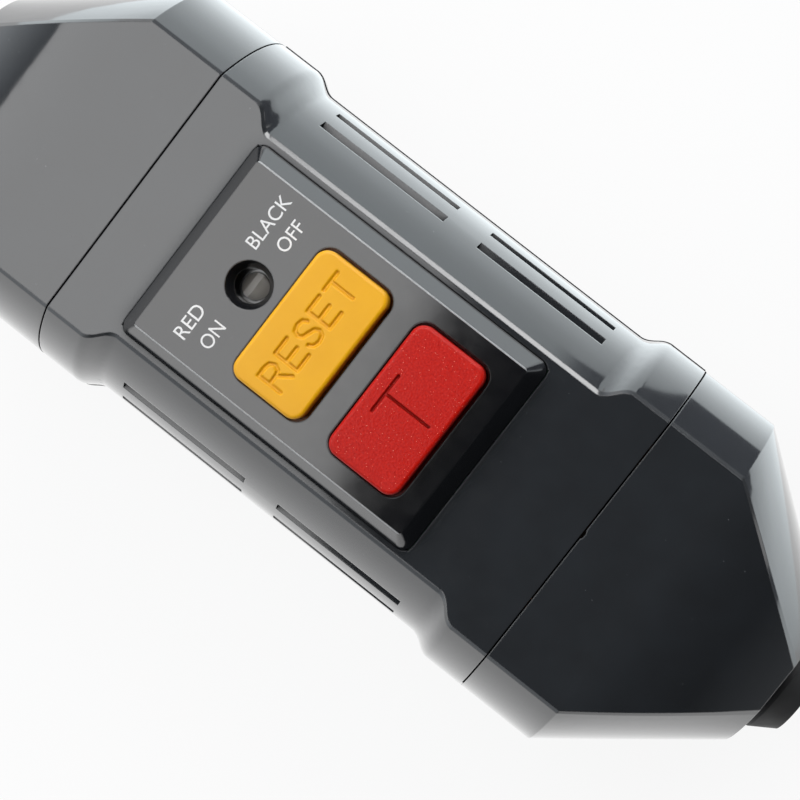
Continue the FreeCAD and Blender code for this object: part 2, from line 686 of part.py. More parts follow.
def snap_hook(side, y):
    """Hook at one end of the panel that grips under the front wall."""
    foot_x = PANEL_CENTRE_X + side * PANEL_FOOT_LENGTH / 2
    inner_x = foot_x - side * HOOK_THICKNESS
    barb_x = foot_x + side * (PANEL_GAP + HOOK_REACH)
    low = LEDGE - HOOK_HEIGHT
    profile = Part.makePolygon([
        Vector(inner_x, y, PANEL_ROOF - PANEL_SIDE_WALL),
        Vector(foot_x, y, PANEL_ROOF - PANEL_WALL - PANEL_SIDE_WALL),
        Vector(foot_x, y, LEDGE),
        Vector(barb_x, y, LEDGE),
        Vector(foot_x, y, low),
        Vector(inner_x, y, low),
        Vector(inner_x, y, PANEL_ROOF - PANEL_SIDE_WALL)])
    return Part.Face(profile).extrude(Vector(0, HOOK_WIDTH, 0)).translated(Vector(0, -HOOK_WIDTH / 2, 0))


def button_panel():
    foot_corner = PANEL_TOP_CORNER + PANEL_BEVEL / 2
    low = (PANEL_FOOT_LENGTH, PANEL_FOOT_WIDTH, foot_corner, BODY_DEPTH + PANEL_STEP)
    high = (PANEL_LENGTH, PANEL_WIDTH, PANEL_TOP_CORNER, PANEL_TOP)
    skirt = rounded_block(PANEL_CENTRE_X, 0, *low[:3], LEDGE, low[3])
    bevelled = tapered_block(PANEL_CENTRE_X, 0, low, high)
    thin = 2 * PANEL_SIDE_WALL
    cavity_low = (low[0] - thin, low[1] - thin, foot_corner / 2, LEDGE)
    cavity_high = (high[0] - thin, high[1] - thin, PANEL_TOP_CORNER / 2, PANEL_ROOF)
    cavity = tapered_block(PANEL_CENTRE_X, 0, cavity_low, cavity_high)
    sleeve_diameter = WINDOW_THROAT_DIAMETER + 2 * WINDOW_SLEEVE_WALL
    sleeve = upright(WINDOW_X, 0, sleeve_diameter, GUIDE_TOP, PANEL_TOP - PANEL_WALL / 2)
    hooks = [snap_hook(side, y) for side in (-1, 1) for y in both_sides(HOOK_SPACING / 2)]
    body = joined([skirt, bevelled]).cut(cavity)
    body = joined([body, sleeve] + hooks)
    mouth = Part.makeCone(WINDOW_THROAT_DIAMETER / 2, WINDOW_MOUTH_DIAMETER / 2, PANEL_WALL,
                          Vector(WINDOW_X, 0, PANEL_ROOF))
    floor = GUIDE_TOP + WINDOW_FLOOR_HEIGHT
    throat = upright(WINDOW_X, 0, WINDOW_THROAT_DIAMETER, floor, PANEL_ROOF)
    seat = upright(WINDOW_X, 0, LENS_DIAMETER + 2 * LENS_GAP, GUIDE_TOP - BEYOND, floor + BEYOND)
    return body.cut([mouth, throat, seat, button_opening(RESET_X), button_opening(TEST_X)])


def indicator_lens():
    """Clear peg in the ring at the window's floor, its end cut to two slopes and a flat ridge."""
    radius = LENS_DIAMETER / 2
    reach = radius + BEYOND
    half_ridge = LENS_RIDGE_WIDTH / 2
    top = GUIDE_TOP + LENS_HEIGHT
    low = top - LENS_CROWN * (reach - half_ridge) / (radius - half_ridge)
    outline = [(reach, low), (half_ridge, top), (-half_ridge, top), (-reach, low),
               (-reach, low - BEYOND), (reach, low - BEYOND)]
    points = [Vector(WINDOW_X + LENS_RIDGE_OFFSET + x, -reach, z) for x, z in outline]
    wedge = Part.Face(Part.makePolygon(points + points[:1])).extrude(Vector(0, 2 * reach, 0))
    return upright(WINDOW_X, 0, 2 * radius, GUIDE_TOP, top).common(wedge)


def flag_ears():
    """Two ears under the guide plate that hold the flag's pin."""
    ears = []
    inner = FLAG_WIDTH / 2 + FLAG_EAR_GAP
    for side in (-1, 1):
        y0 = side * inner
        y1 = side * (inner + FLAG_EAR_THICKNESS)
        ear = block(WINDOW_X - FLAG_HUB_DIAMETER / 2, WINDOW_X + FLAG_HUB_DIAMETER / 2,
                    min(y0, y1), max(y0, y1), FLAG_PIVOT_Z, GUIDE_BOTTOM)
        foot = along_y(WINDOW_X, FLAG_PIVOT_Z, FLAG_HUB_DIAMETER, min(y0, y1), max(y0, y1))
        ears.append(ear.fuse(foot))
    return ears


def button_guide():
    length = PANEL_FOOT_LENGTH - 2 * HOOK_THICKNESS - 2 * GUIDE_END_CLEARANCE
    width = WAIST_FACE_WIDTH - 2 * WALL_AT_FACE_EDGE - 2 * GUIDE_SIDE_CLEARANCE
    plate = centred_block(PANEL_CENTRE_X, 0, length, width, GUIDE_BOTTOM, GUIDE_TOP)
    guide = joined([plate] + flag_ears())
    reach = GUIDE_THICKNESS + FLAG_RADIUS
    holes = [upright(WINDOW_X, 0, SIGHT_HOLE_DIAMETER, GUIDE_BOTTOM - BEYOND / 2, GUIDE_TOP + BEYOND)]
    for x in (RESET_X, TEST_X):
        holes.append(upright(x, 0, STEM_DIAMETER + 2 * STEM_CLEARANCE, GUIDE_BOTTOM - BEYOND,
                             GUIDE_TOP + BEYOND))
    holes.append(along_y(WINDOW_X, FLAG_PIVOT_Z, FLAG_PIN_DIAMETER, -reach, reach))
    return guide.cut(holes)


# Buttons and springs

def push_button(x, stem_bottom):
    """Hollow cap with a soft upper edge, a retaining lip and a central stem."""
    cap = rounded_block(x, 0, BUTTON_WIDTH, BUTTON_LENGTH, BUTTON_CORNER,
                        PANEL_ROOF - BUTTON_STOP - BUTTON_LIP_HEIGHT, BUTTON_TOP)
    top_edges = [edge for edge in cap.Edges if edge.BoundBox.ZMin > BUTTON_TOP - BUTTON_EDGE / 2]
    cap = cap.makeFillet(BUTTON_EDGE, top_edges)
    spread = 2 * (BUTTON_GAP + BUTTON_LIP)
    lip = rounded_block(x, 0, BUTTON_WIDTH + spread, BUTTON_LENGTH + spread, BUTTON_CORNER,
                        PANEL_ROOF - BUTTON_STOP - BUTTON_LIP_HEIGHT, PANEL_ROOF - BUTTON_STOP)
    hollow = rounded_block(
        x, 0, BUTTON_WIDTH - 2 * BUTTON_SKIN, BUTTON_LENGTH - 2 * BUTTON_SKIN,
        BUTTON_CORNER / 2, GUIDE_TOP, BUTTON_CEILING)
    spring_bore = upright(x, 0, BUTTON_SPRING_BORE + 2 * SPRING_WALL + SPRING_GAP, GUIDE_TOP, BUTTON_CEILING)
    stem = upright(x, 0, STEM_DIAMETER, stem_bottom, BUTTON_TOP - BUTTON_SKIN / 2)
    return joined([joined([cap, lip]).cut([hollow, spring_bore]), stem])


def button_spring(x):
    outer = BUTTON_SPRING_BORE + 2 * SPRING_WALL
    return upright_ring(x, 0, BUTTON_SPRING_BORE, outer, GUIDE_TOP, BUTTON_CEILING)


def carrier_spring():
    inner = GUIDE_POST_DIAMETER + 2 * SPRING_GAP
    return upright_ring(RESET_X, 0, inner, inner + 2 * SPRING_WALL, FLOOR, CARRIER_BOTTOM)


# Circuit board and what it carries

def circuit_board():
    board = centred_block(BOARD_CENTRE_X, 0, BOARD_LENGTH, BOARD_WIDTH, BOARD_BOTTOM, BOARD_TOP)
    holes = [upright(RESET_X, 0, STEM_DIAMETER + 2 * STEM_HOLE_MARGIN, BOARD_BOTTOM - BEYOND,
                     BOARD_TOP + BEYOND)]
    for x, y in board_post_places():
        holes.append(upright(x, y, BOARD_PEG_DIAMETER + 2 * PEG_CLEARANCE, BOARD_BOTTOM - BEYOND,
                             BOARD_TOP + BEYOND))
    return board.cut(holes)


def control_chip():
    length, width, height = CHIP_SIZE
    x, y = CHIP_PLACE
    return centred_block(x, y, length, width, BOARD_TOP, BOARD_TOP + height)


def film_capacitor():
    length, width, height = CAPACITOR_SIZE
    x, y = CAPACITOR_PLACE
    return centred_block(x, y, length, width, BOARD_BOTTOM - height, BOARD_BOTTOM)


def varistor():
    x, y = VARISTOR_PLACE
    return upright(x, y, VARISTOR_DIAMETER, BOARD_BOTTOM - VARISTOR_THICKNESS, BOARD_BOTTOM)


def test_resistor():
    x, y = RESISTOR_PLACE
    return along_x(y, BOARD_TOP + RESISTOR_DIAMETER / 2, RESISTOR_DIAMETER,
                   x - RESISTOR_LENGTH / 2, x + RESISTOR_LENGTH / 2)


def test_contacts():
    top = TEST_BRIDGE_BOTTOM - TEST_TRAVEL - CONTACT_CLEARANCE
    return group([upright(TEST_X, y, TEST_CONTACT_DIAMETER, BOARD_TOP, top)
                  for y in both_sides(TEST_CONTACT_SPAN / 2)])


def test_bridge():
    return centred_block(TEST_X, 0, TEST_BRIDGE_WIDTH, TEST_BRIDGE_LENGTH, TEST_BRIDGE_BOTTOM,
                         TEST_STEM_BOTTOM)


# Copper straps and contacts

def strap(points):
    """Flat strip whose middle line runs through the points at the strap level."""
    half = STRAP_WIDTH / 2
    left = []
    right = []
    last = len(points) - 1
    for index, (x, y) in enumerate(points):
        before = points[max(index - 1, 0)]
        after = points[min(index + 1, last)]
        incoming = math.atan2(y - before[1], x - before[0]) if index > 0 else None
        outgoing = math.atan2(after[1] - y, after[0] - x) if index < last else None
        first = outgoing if incoming is None else incoming
        second = incoming if outgoing is None else outgoing
        turn = (first + second) / 2
        reach = half / math.cos((second - first) / 2)
        left.append(Vector(x - reach * math.sin(turn), y + reach * math.cos(turn), STRAP_LEVEL))
        right.append(Vector(x + reach * math.sin(turn), y - reach * math.cos(turn), STRAP_LEVEL))
    outline = left + right[::-1] + [left[0]]
    return Part.Face(Part.makePolygon(outline)).extrude(Vector(0, 0, STRAP_THICKNESS))


def supply_strap(contact_y, terminal_y):
    """From a supply terminal to the supply side break of its pole."""
    tip_x = RESET_X - CONTACT_SPAN / 2
    inside = -SEAM_X + BARRIER + STRAP_WIDTH / 2
    jog = abs(contact_y - terminal_y)
    return strap([(-STRAP_END_X, terminal_y), (inside, terminal_y), (inside + jog, contact_y),
                  (tip_x + STRAP_TIP_OVERHANG, contact_y)])


def load_strap(contact_y, terminal_y):
    """From the load side break through the sensing ring to a load terminal."""
    tip_x = RESET_X + CONTACT_SPAN / 2
    sensor_y = math.copysign(SENSOR_LINE_Y, contact_y)
    ring_start = SENSOR_X - SENSOR_LENGTH / 2 - STRAP_WIDTH / 2
    ring_end = SENSOR_X + SENSOR_LENGTH / 2 + STRAP_WIDTH / 2
    inside = SEAM_X - BARRIER - STRAP_WIDTH / 2
    jog = (abs(contact_y) - SENSOR_LINE_Y) / 2
    return strap([(tip_x - STRAP_TIP_OVERHANG, contact_y), (ring_start - jog, contact_y),
                  (ring_start, sensor_y), (ring_end, sensor_y), (inside, terminal_y),
                  (STRAP_END_X, terminal_y)])


def earth_strap():
    return strap([(-STRAP_END_X, -TERMINAL_PITCH), (STRAP_END_X, -TERMINAL_PITCH)])


def contact_places():
    return [(RESET_X + x, y) for x in both_sides(CONTACT_SPAN / 2) for y in both_sides(CONTACT_LINE_Y)]


def fixed_contacts():
    return group([upright(x, y, TIP_DIAMETER, STRAP_TOP, FIXED_TIP_TOP) for x, y in contact_places()])


def moving_contacts():
    return group([upright(x, y, TIP_DIAMETER, MOVING_TIP_BOTTOM, BRIDGE_BOTTOM)
                  for x, y in contact_places()])


def contact_bridges():
    length = CONTACT_SPAN + 2 * BRIDGE_OVERHANG
    return group([centred_block(RESET_X, y, length, BRIDGE_WIDTH, BRIDGE_BOTTOM, BRIDGE_TOP)
                  for y in both_sides(CONTACT_LINE_Y)])


# Contact carrier

def contact_carrier():
    """Column on the guide post, wings over the bridges and an arm to the plunger."""
    wing_width = 2 * CONTACT_LINE_Y + BRIDGE_WIDTH
    column = centred_block(RESET_X, 0, CARRIER_LENGTH, COLUMN_WIDTH, CARRIER_BOTTOM, CARRIER_TOP)
    wings = centred_block(RESET_X, 0, CARRIER_LENGTH, wing_width, BRIDGE_TOP, BRIDGE_TOP + WING_HEIGHT)
    arm = block(RESET_X, SOLENOID_X + ARM_OVERHANG, -ARM_WIDTH / 2, ARM_WIDTH / 2, ARM_BOTTOM, CARRIER_TOP)
    post_hole = upright(RESET_X, 0, GUIDE_POST_DIAMETER + 2 * PLUNGER_FIT, CARRIER_BOTTOM - BEYOND,
                        CARRIER_BOTTOM + GUIDE_POST_HEIGHT + RESET_TRAVEL + GUIDE_BORE_SPARE)
    neck_hole = upright(SOLENOID_X, 0, PLUNGER_NECK_DIAMETER, ARM_BOTTOM - BEYOND, CARRIER_TOP + BEYOND)
    tail_x, tail_z = flag_tail_point()
    fork_height = FLAG_TAIL_PIN_DIAMETER + 2 * FORK_CLEARANCE
    fork_depth = tail_x + FLAG_TAIL_PIN_DIAMETER + FORK_CLEARANCE
    west = RESET_X - CARRIER_LENGTH / 2
    fork = block(west - BEYOND, fork_depth, -FLAG_WIDTH / 2 - FORK_CLEARANCE,
                 FLAG_WIDTH / 2 + FORK_CLEARANCE, tail_z - fork_height / 2, tail_z + fork_height / 2)
    return joined([column, wings, arm]).cut([post_hole, neck_hole, fork])


# Indicator flag

def flag_tail_point():
    """Where the tail's pin sits at rest, with the contacts open."""
    rise = math.radians(FLAG_TILT_ANGLE / 2)
    return WINDOW_X + FLAG_TAIL * math.cos(rise), FLAG_PIVOT_Z + FLAG_TAIL * math.sin(rise)


def flag_sector(inner, outer, start, end):
    """Part of a ring around the pivot, between two angles from upright, towards +X."""
    def at(radius, degrees):
        turn = math.radians(degrees)
        return Vector(WINDOW_X + radius * math.sin(turn), -FLAG_WIDTH / 2,
                      FLAG_PIVOT_Z + radius * math.cos(turn))

    middle = (start + end) / 2
    edges = [Part.makeLine(at(inner, start), at(outer, start)),
             Part.Arc(at(outer, start), at(outer, middle), at(outer, end)).toShape(),
             Part.makeLine(at(outer, end), at(inner, end)),
             Part.Arc(at(inner, end), at(inner, middle), at(inner, start)).toShape()]
    return Part.Face(Part.Wire(edges)).extrude(Vector(0, FLAG_WIDTH, 0))


def indicator_flag():
    """Rocker with a curved face under the window, a hub and a tail into the carrier's fork."""
    middle = -FLAG_TILT_ANGLE / 2
    half_y = FLAG_WIDTH / 2
    face = flag_sector(FLAG_RADIUS - FLAG_SKIN, FLAG_RADIUS, middle - FLAG_HALF_ANGLE,
                       middle + FLAG_HALF_ANGLE)
    hub = along_y(WINDOW_X, FLAG_PIVOT_Z, FLAG_HUB_DIAMETER, -half_y, half_y)
    web = block(-FLAG_WEB / 2, FLAG_WEB / 2, -half_y, half_y, 0, FLAG_RADIUS - FLAG_SKIN / 2)
    web.rotate(Vector(0, 0, 0), Vector(0, 1, 0), middle)
    web.translate(Vector(WINDOW_X, 0, FLAG_PIVOT_Z))
    tail = block(0, FLAG_TAIL, -half_y, half_y, -FLAG_TAIL_THICKNESS / 2, FLAG_TAIL_THICKNESS / 2)
    tail.rotate(Vector(0, 0, 0), Vector(0, 1, 0), -FLAG_TILT_ANGLE / 2)
    tail.translate(Vector(WINDOW_X, 0, FLAG_PIVOT_Z))
    tail_x, tail_z = flag_tail_point()
    tail_pin = along_y(tail_x, tail_z, FLAG_TAIL_PIN_DIAMETER, -half_y, half_y)
    bore = along_y(WINDOW_X, FLAG_PIVOT_Z, FLAG_PIN_DIAMETER + 2 * FLAG_PIN_FIT,
                   -half_y - BEYOND, half_y + BEYOND)
    recess = flag_sector(FLAG_RADIUS - FLAG_PATCH, FLAG_RADIUS + BEYOND / 2,
                         middle - FLAG_HALF_ANGLE - FLAG_SPARE_ANGLE, middle)
    return joined([face, hub, web, tail, tail_pin]).cut([bore, recess])


def flag_red_face():
    middle = -FLAG_TILT_ANGLE / 2
    return flag_sector(FLAG_RADIUS - FLAG_PATCH, FLAG_RADIUS, middle - FLAG_HALF_ANGLE, middle)


def flag_pivot_pin():
    half = FLAG_WIDTH / 2 + FLAG_EAR_GAP + FLAG_EAR_THICKNESS
    return along_y(WINDOW_X, FLAG_PIVOT_Z, FLAG_PIN_DIAMETER, -half, half)


# Holding solenoid

def solenoid_yoke():
    """U-shaped steel strip, open at both sides, with the plunger's hole on top."""
    outer = centred_block(SOLENOID_X, 0, YOKE_LENGTH, YOKE_WIDTH, FLOOR, YOKE_TOP)
    inner = centred_block(SOLENOID_X, 0, YOKE_LENGTH - 2 * YOKE_THICKNESS, YOKE_WIDTH + 2 * BEYOND,
                          FLOOR + YOKE_THICKNESS, YOKE_TOP - YOKE_THICKNESS)
    hole = upright(SOLENOID_X, 0, PLUNGER_DIAMETER + 2 * YOKE_HOLE_CLEARANCE,
                   YOKE_TOP - YOKE_THICKNESS - BEYOND, YOKE_TOP + BEYOND)
    return outer.cut([inner, hole])


def solenoid_bobbin():
    """Spool between the yoke's two plates."""
    low = FLOOR + YOKE_THICKNESS
    high = YOKE_TOP - YOKE_THICKNESS
    bore = PLUNGER_DIAMETER + 2 * PLUNGER_FIT
    tube = upright(SOLENOID_X, 0, bore + 2 * BOBBIN_WALL, low, high)
    flange_low = upright(SOLENOID_X, 0, COIL_DIAMETER, low, low + BOBBIN_FLANGE)
    flange_high = upright(SOLENOID_X, 0, COIL_DIAMETER, high - BOBBIN_FLANGE, high)
    hole = upright(SOLENOID_X, 0, bore, low - BEYOND, high + BEYOND)
    return joined([tube, flange_low, flange_high]).cut(hole)


def solenoid_winding():
    low = FLOOR + YOKE_THICKNESS + BOBBIN_FLANGE
    high = YOKE_TOP - YOKE_THICKNESS - BOBBIN_FLANGE
    inner = PLUNGER_DIAMETER + 2 * PLUNGER_FIT + 2 * BOBBIN_WALL
    return upright_ring(SOLENOID_X, 0, inner, COIL_DIAMETER - BOBBIN_WALL, low, high)


def solenoid_pole():
    low = FLOOR + YOKE_THICKNESS
    return upright(SOLENOID_X, 0, PLUNGER_DIAMETER, low, low + POLE_HEIGHT)


def solenoid_plunger():
    low = FLOOR + YOKE_THICKNESS + POLE_HEIGHT + RESET_TRAVEL + CONTACT_CLEARANCE
    body = upright(SOLENOID_X, 0, PLUNGER_DIAMETER, low, ARM_BOTTOM)
    neck = upright(SOLENOID_X, 0, PLUNGER_NECK_DIAMETER, ARM_BOTTOM, CARRIER_TOP)
    return joined([body, neck])


# Sensing ring

def ring_solid(inner, outer, length, sweep):
    """Ring around the load straps, its axis along X, swept from its lowest point."""
    profile = Part.makePolygon([
        Vector(SENSOR_X - length / 2, 0, SENSOR_Z - outer / 2),
        Vector(SENSOR_X + length / 2, 0, SENSOR_Z - outer / 2),
        Vector(SENSOR_X + length / 2, 0, SENSOR_Z - inner / 2),
        Vector(SENSOR_X - length / 2, 0, SENSOR_Z - inner / 2),
        Vector(SENSOR_X - length / 2, 0, SENSOR_Z - outer / 2)])
    ring = Part.Face(profile).revolve(Vector(0, 0, SENSOR_Z), Vector(1, 0, 0), sweep)
    ring.rotate(Vector(0, 0, SENSOR_Z), Vector(1, 0, 0), -sweep / 2)
    return ring


def sensing_core():
    thin = 2 * WINDING_THICKNESS
    return ring_solid(SENSOR_BORE + thin, SENSOR_DIAMETER - thin, SENSOR_LENGTH - thin, 360)


def sensing_winding():
    ring = ring_solid(SENSOR_BORE, SENSOR_DIAMETER, SENSOR_LENGTH, WINDING_ANGLE)
    return ring.cut(sensing_core())


# Terminals

def terminal(x, y):
    """Brass block with a wire hole along the body and a tapped hole on top."""
    body = centred_block(x, y, TERMINAL_LENGTH, TERMINAL_WIDTH, STRAP_TOP, TERMINAL_TOP)
    wire = along_x(y, STRAP_TOP + WIRE_HOLE_LEVEL, WIRE_HOLE_DIAMETER,
                   x - TERMINAL_LENGTH, x + TERMINAL_LENGTH)
    tapped = upright(x, y, TERMINAL_SCREW_DIAMETER + 2 * SCREW_FIT, STRAP_TOP + WIRE_HOLE_LEVEL,
                     TERMINAL_TOP + BEYOND)
    return body.cut([wire, tapped])


def terminals(x):
    return group([terminal(place_x, y) for place_x, y in terminal_places(x)])


def terminal_screws():
    screws = []
    tip = STRAP_TOP + WIRE_HOLE_LEVEL + WIRE_HOLE_DIAMETER / 2
    for end in both_sides(TERMINAL_X):
        for x, y in terminal_places(end):
            screws.append(screw(x, y, TERMINAL_SCREW_DIAMETER, TERMINAL_HEAD_DIAMETER, TERMINAL_TOP,
                                TERMINAL_HEAD_HEIGHT, tip))
    return group(screws)


# Cord clamps and grommets

def cord_clamp():
    """Saddle over the cable, screwed down onto its two posts."""
    crown = JOINT_LEVEL + CABLE_DIAMETER / 2 + CLAMP_CROWN
    foot_top = JOINT_LEVEL + CLAMP_CROWN
    span = CLAMP_SPAN + 2 * CLAMP_END
    feet = centred_block(CLAMP_X, 0, CLAMP_LENGTH, span, JOINT_LEVEL, foot_top)
    hump = centred_block(CLAMP_X, 0, CLAMP_LENGTH, CLAMP_HUMP_WIDTH, JOINT_LEVEL, crown)
    cable = along_x(0, JOINT_LEVEL, CABLE_DIAMETER, CLAMP_X - CLAMP_LENGTH, CLAMP_X + CLAMP_LENGTH)
    holes = [upright(CLAMP_X, y, SCREW_DIAMETER + 2 * SCREW_FIT, JOINT_LEVEL - BEYOND, crown)
             for y in both_sides(CLAMP_SPAN / 2)]
    return joined([feet, hump]).cut([cable] + holes)


def cord_clamp_screws():
    screws = []
    for x, y in clamp_post_places():
        screws.append(screw(x, y, SCREW_DIAMETER, SCREW_HEAD_DIAMETER, JOINT_LEVEL + CLAMP_CROWN,
                            SCREW_HEAD_HEIGHT, JOINT_LEVEL - CLAMP_SCREW_DEPTH + SCREW_BITE_SPARE))
    return group(screws)


def cable_grommet():
    """Rubber ring that grips the end wall, with a short tapered lip around the cable."""
    wall_in = BODY_END_X - END_WALL
    flange_out = BODY_END_X + GROMMET_FLANGE
    profile = [
        (wall_in - GROMMET_FLANGE, CABLE_DIAMETER / 2),
        (wall_in - GROMMET_FLANGE, GROMMET_FLANGE_DIAMETER / 2),
        (wall_in, GROMMET_FLANGE_DIAMETER / 2),
        (wall_in, GROMMET_NECK_DIAMETER / 2 - GROMMET_FIT),
        (BODY_END_X, GROMMET_NECK_DIAMETER / 2 - GROMMET_FIT),
        (BODY_END_X, GROMMET_FLANGE_DIAMETER / 2),
        (flange_out, GROMMET_FLANGE_DIAMETER / 2),
        (flange_out + GROMMET_TIP_LENGTH, GROMMET_TIP_DIAMETER / 2),
        (flange_out + GROMMET_TIP_LENGTH, CABLE_DIAMETER / 2)]
    points = [Vector(x, 0, JOINT_LEVEL + radius) for x, radius in profile]
    face = Part.Face(Part.makePolygon(points + [points[0]]))
    return face.revolve(Vector(0, 0, JOINT_LEVEL), Vector(1, 0, 0), 360)


# All pieces, by name

def all_parts():
    housing_places, cover_places = screw_places()
    cover = terminal_cover()
    load_clamp = cord_clamp()
    load_grommet = cable_grommet()
    return {
        "rear_base": rear_base(),
        "front_shell": front_shell(),
        "load_terminal_cover": cover.cut(pry_notch()),
        "supply_terminal_cover": mirrored(cover),
        "button_panel": button_panel(),
        "button_guide": button_guide(),
        "indicator_lens": indicator_lens(),
        "reset_button": push_button(RESET_X, CARRIER_TOP),
        "test_button": push_button(TEST_X, TEST_STEM_BOTTOM),
        "reset_spring": button_spring(RESET_X),
        "test_spring": button_spring(TEST_X),
        "carrier_spring": carrier_spring(),
        "circuit_board": circuit_board(),
        "control_chip": control_chip(),
        "film_capacitor": film_capacitor(),
        "varistor": varistor(),
        "test_resistor": test_resistor(),
        "test_contacts": test_contacts(),
        "test_bridge": test_bridge(),
        "supply_live_strap": supply_strap(CONTACT_LINE_Y, TERMINAL_PITCH),
        "supply_neutral_strap": supply_strap(-CONTACT_LINE_Y, 0),
        "load_live_strap": load_strap(CONTACT_LINE_Y, TERMINAL_PITCH),
        "load_neutral_strap": load_strap(-CONTACT_LINE_Y, 0),
        "earth_strap": earth_strap(),
        "fixed_contacts": fixed_contacts(),
        "moving_contacts": moving_contacts(),
        "contact_bridges": contact_bridges(),
        "contact_carrier": contact_carrier(),
        "indicator_flag": indicator_flag(),
        "flag_red_face": flag_red_face(),
        "flag_pivot_pin": flag_pivot_pin(),
        "solenoid_yoke": solenoid_yoke(),
        "solenoid_bobbin": solenoid_bobbin(),
        "solenoid_winding": solenoid_winding(),
        "solenoid_pole": solenoid_pole(),
        "solenoid_plunger": solenoid_plunger(),
        "sensing_core": sensing_core(),
        "sensing_winding": sensing_winding(),
        "supply_terminals": terminals(-TERMINAL_X),
        "load_terminals": terminals(TERMINAL_X),
        "terminal_screws": terminal_screws(),
        "load_cord_clamp": load_clamp,
        "supply_cord_clamp": mirrored(load_clamp),
        "cord_clamp_screws": cord_clamp_screws(),
        "load_cable_grommet": load_grommet,
        "supply_cable_grommet": mirrored(load_grommet),
        "housing_screws": sunk_screws(housing_places),
        "cover_screws": sunk_screws(cover_places),
    }


os.makedirs("parts", exist_ok=True)
for name, shape in all_parts().items():
    solids = len(shape.Solids)
    print(name, "solids", solids, "valid", shape.isValid(), "volume", round(shape.Volume, 1))
    shape.exportStep("parts/" + name + ".step")
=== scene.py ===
import json
import math

import bmesh
import bpy
from mathutils import Matrix, Quaternion, Vector


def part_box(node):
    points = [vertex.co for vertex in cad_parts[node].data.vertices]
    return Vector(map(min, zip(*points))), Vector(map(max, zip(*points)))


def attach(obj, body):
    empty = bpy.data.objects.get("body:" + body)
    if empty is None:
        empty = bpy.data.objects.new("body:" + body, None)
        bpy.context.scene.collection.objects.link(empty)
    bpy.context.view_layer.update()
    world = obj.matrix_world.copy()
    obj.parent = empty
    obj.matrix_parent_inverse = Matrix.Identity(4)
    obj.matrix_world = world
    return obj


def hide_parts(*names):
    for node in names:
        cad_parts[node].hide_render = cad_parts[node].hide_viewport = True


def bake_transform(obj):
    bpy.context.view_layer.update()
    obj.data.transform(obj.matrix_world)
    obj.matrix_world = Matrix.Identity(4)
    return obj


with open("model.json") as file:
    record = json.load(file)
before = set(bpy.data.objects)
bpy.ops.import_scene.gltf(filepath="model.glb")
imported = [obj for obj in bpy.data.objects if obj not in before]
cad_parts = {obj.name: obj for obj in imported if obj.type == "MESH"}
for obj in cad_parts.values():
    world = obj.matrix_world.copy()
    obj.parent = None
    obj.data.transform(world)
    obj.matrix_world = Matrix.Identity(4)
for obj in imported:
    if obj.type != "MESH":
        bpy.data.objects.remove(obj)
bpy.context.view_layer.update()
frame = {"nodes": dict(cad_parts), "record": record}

MM = 0.001
UP = Vector((0, 0, 1))
QUARTER_TURN = math.radians(90)
NODES = frame["nodes"]
BODY = "housing"


# Camera and studio, in metres

CAMERA_PLACE = Vector((31.8, 25.6, 347.4)) * MM
CAMERA_TARGET = Vector((8.26, 0.0, 42.0)) * MM
# The body's long axis runs down to the right in the picture, by this angle
AXIS_IN_PICTURE = math.radians(38.14)
LENS = 99.0
SENSOR_WIDTH = 36.0
NEAREST_SEEN = 0.01

WHITE = (1.0, 1.0, 1.0, 1.0)
FLOOR_SIZE = 6.0
FLOOR_COLOUR = (0.86, 0.87, 0.88, 1.0)
# How much of plain white is mixed into what the camera sees of the floor
FLOOR_WHITE = 0.9
# The floor lies this far under the back, so that the two do not share a plane
FLOOR_DROP = 0.0002

SOFTBOX_HEIGHT = 0.65
SOFTBOX_SIZE = (1.0, 1.1)
SOFTBOX_EDGE = (-0.043, -0.05)
SOFTBOX_TURN = math.radians(8.7)
SOFTBOX_RADIANCE = 1.9
SIDE_LIGHT_PLACE = (-0.22, 0.65, 0.55)
SIDE_LIGHT_SIZE = (0.9, 0.32)
SIDE_LIGHT_RADIANCE = 5.2

# The world's colours by height, and its strength along X: two directions, and the strength at each
SKY = ((0.0, (1.0, 1.0, 1.0)), (0.12, (0.9, 0.95, 1.0)), (0.55, (0.03, 0.033, 0.036)))
SKY_SHADE = (-0.1, 0.4, 1.0, 0.15)

# Cards beside the object that only its reflections see: a bright one on the floor with a wall at its
# far end, and dark ones that give the crisp dark patches on the load end's side
CARD_NEAR = 0.034
CARD_FAR = 0.9
CARD_REACH = 0.3
CARD_LIFT = 0.0005
CARD_TOP = 0.15
# The bright card's radiance by the distance from the object's middle line, and its share along the object
CARD_GLOW = ((0.034, 1.5), (0.05, 1.75), (0.09, 1.5), (0.2, 1.3), (0.9, 1.25))
CARD_SHARE = ((0.02, 1.0), (0.04, 0.8))
CARD_TINT = (0.93, 1.0, 1.03, 1.0)
WALL_COLOUR = (1.2, 1.3, 1.34, 1.0)
DARK_NEAR = 0.086
DARK_FAR = 0.28
DARK_EDGE_NEAR = 0.041
DARK_EDGE_FAR = 0.031
DARK_COLOUR = (0.13, 0.14, 0.16, 1.0)
DARK_WALL_EDGE = 0.0


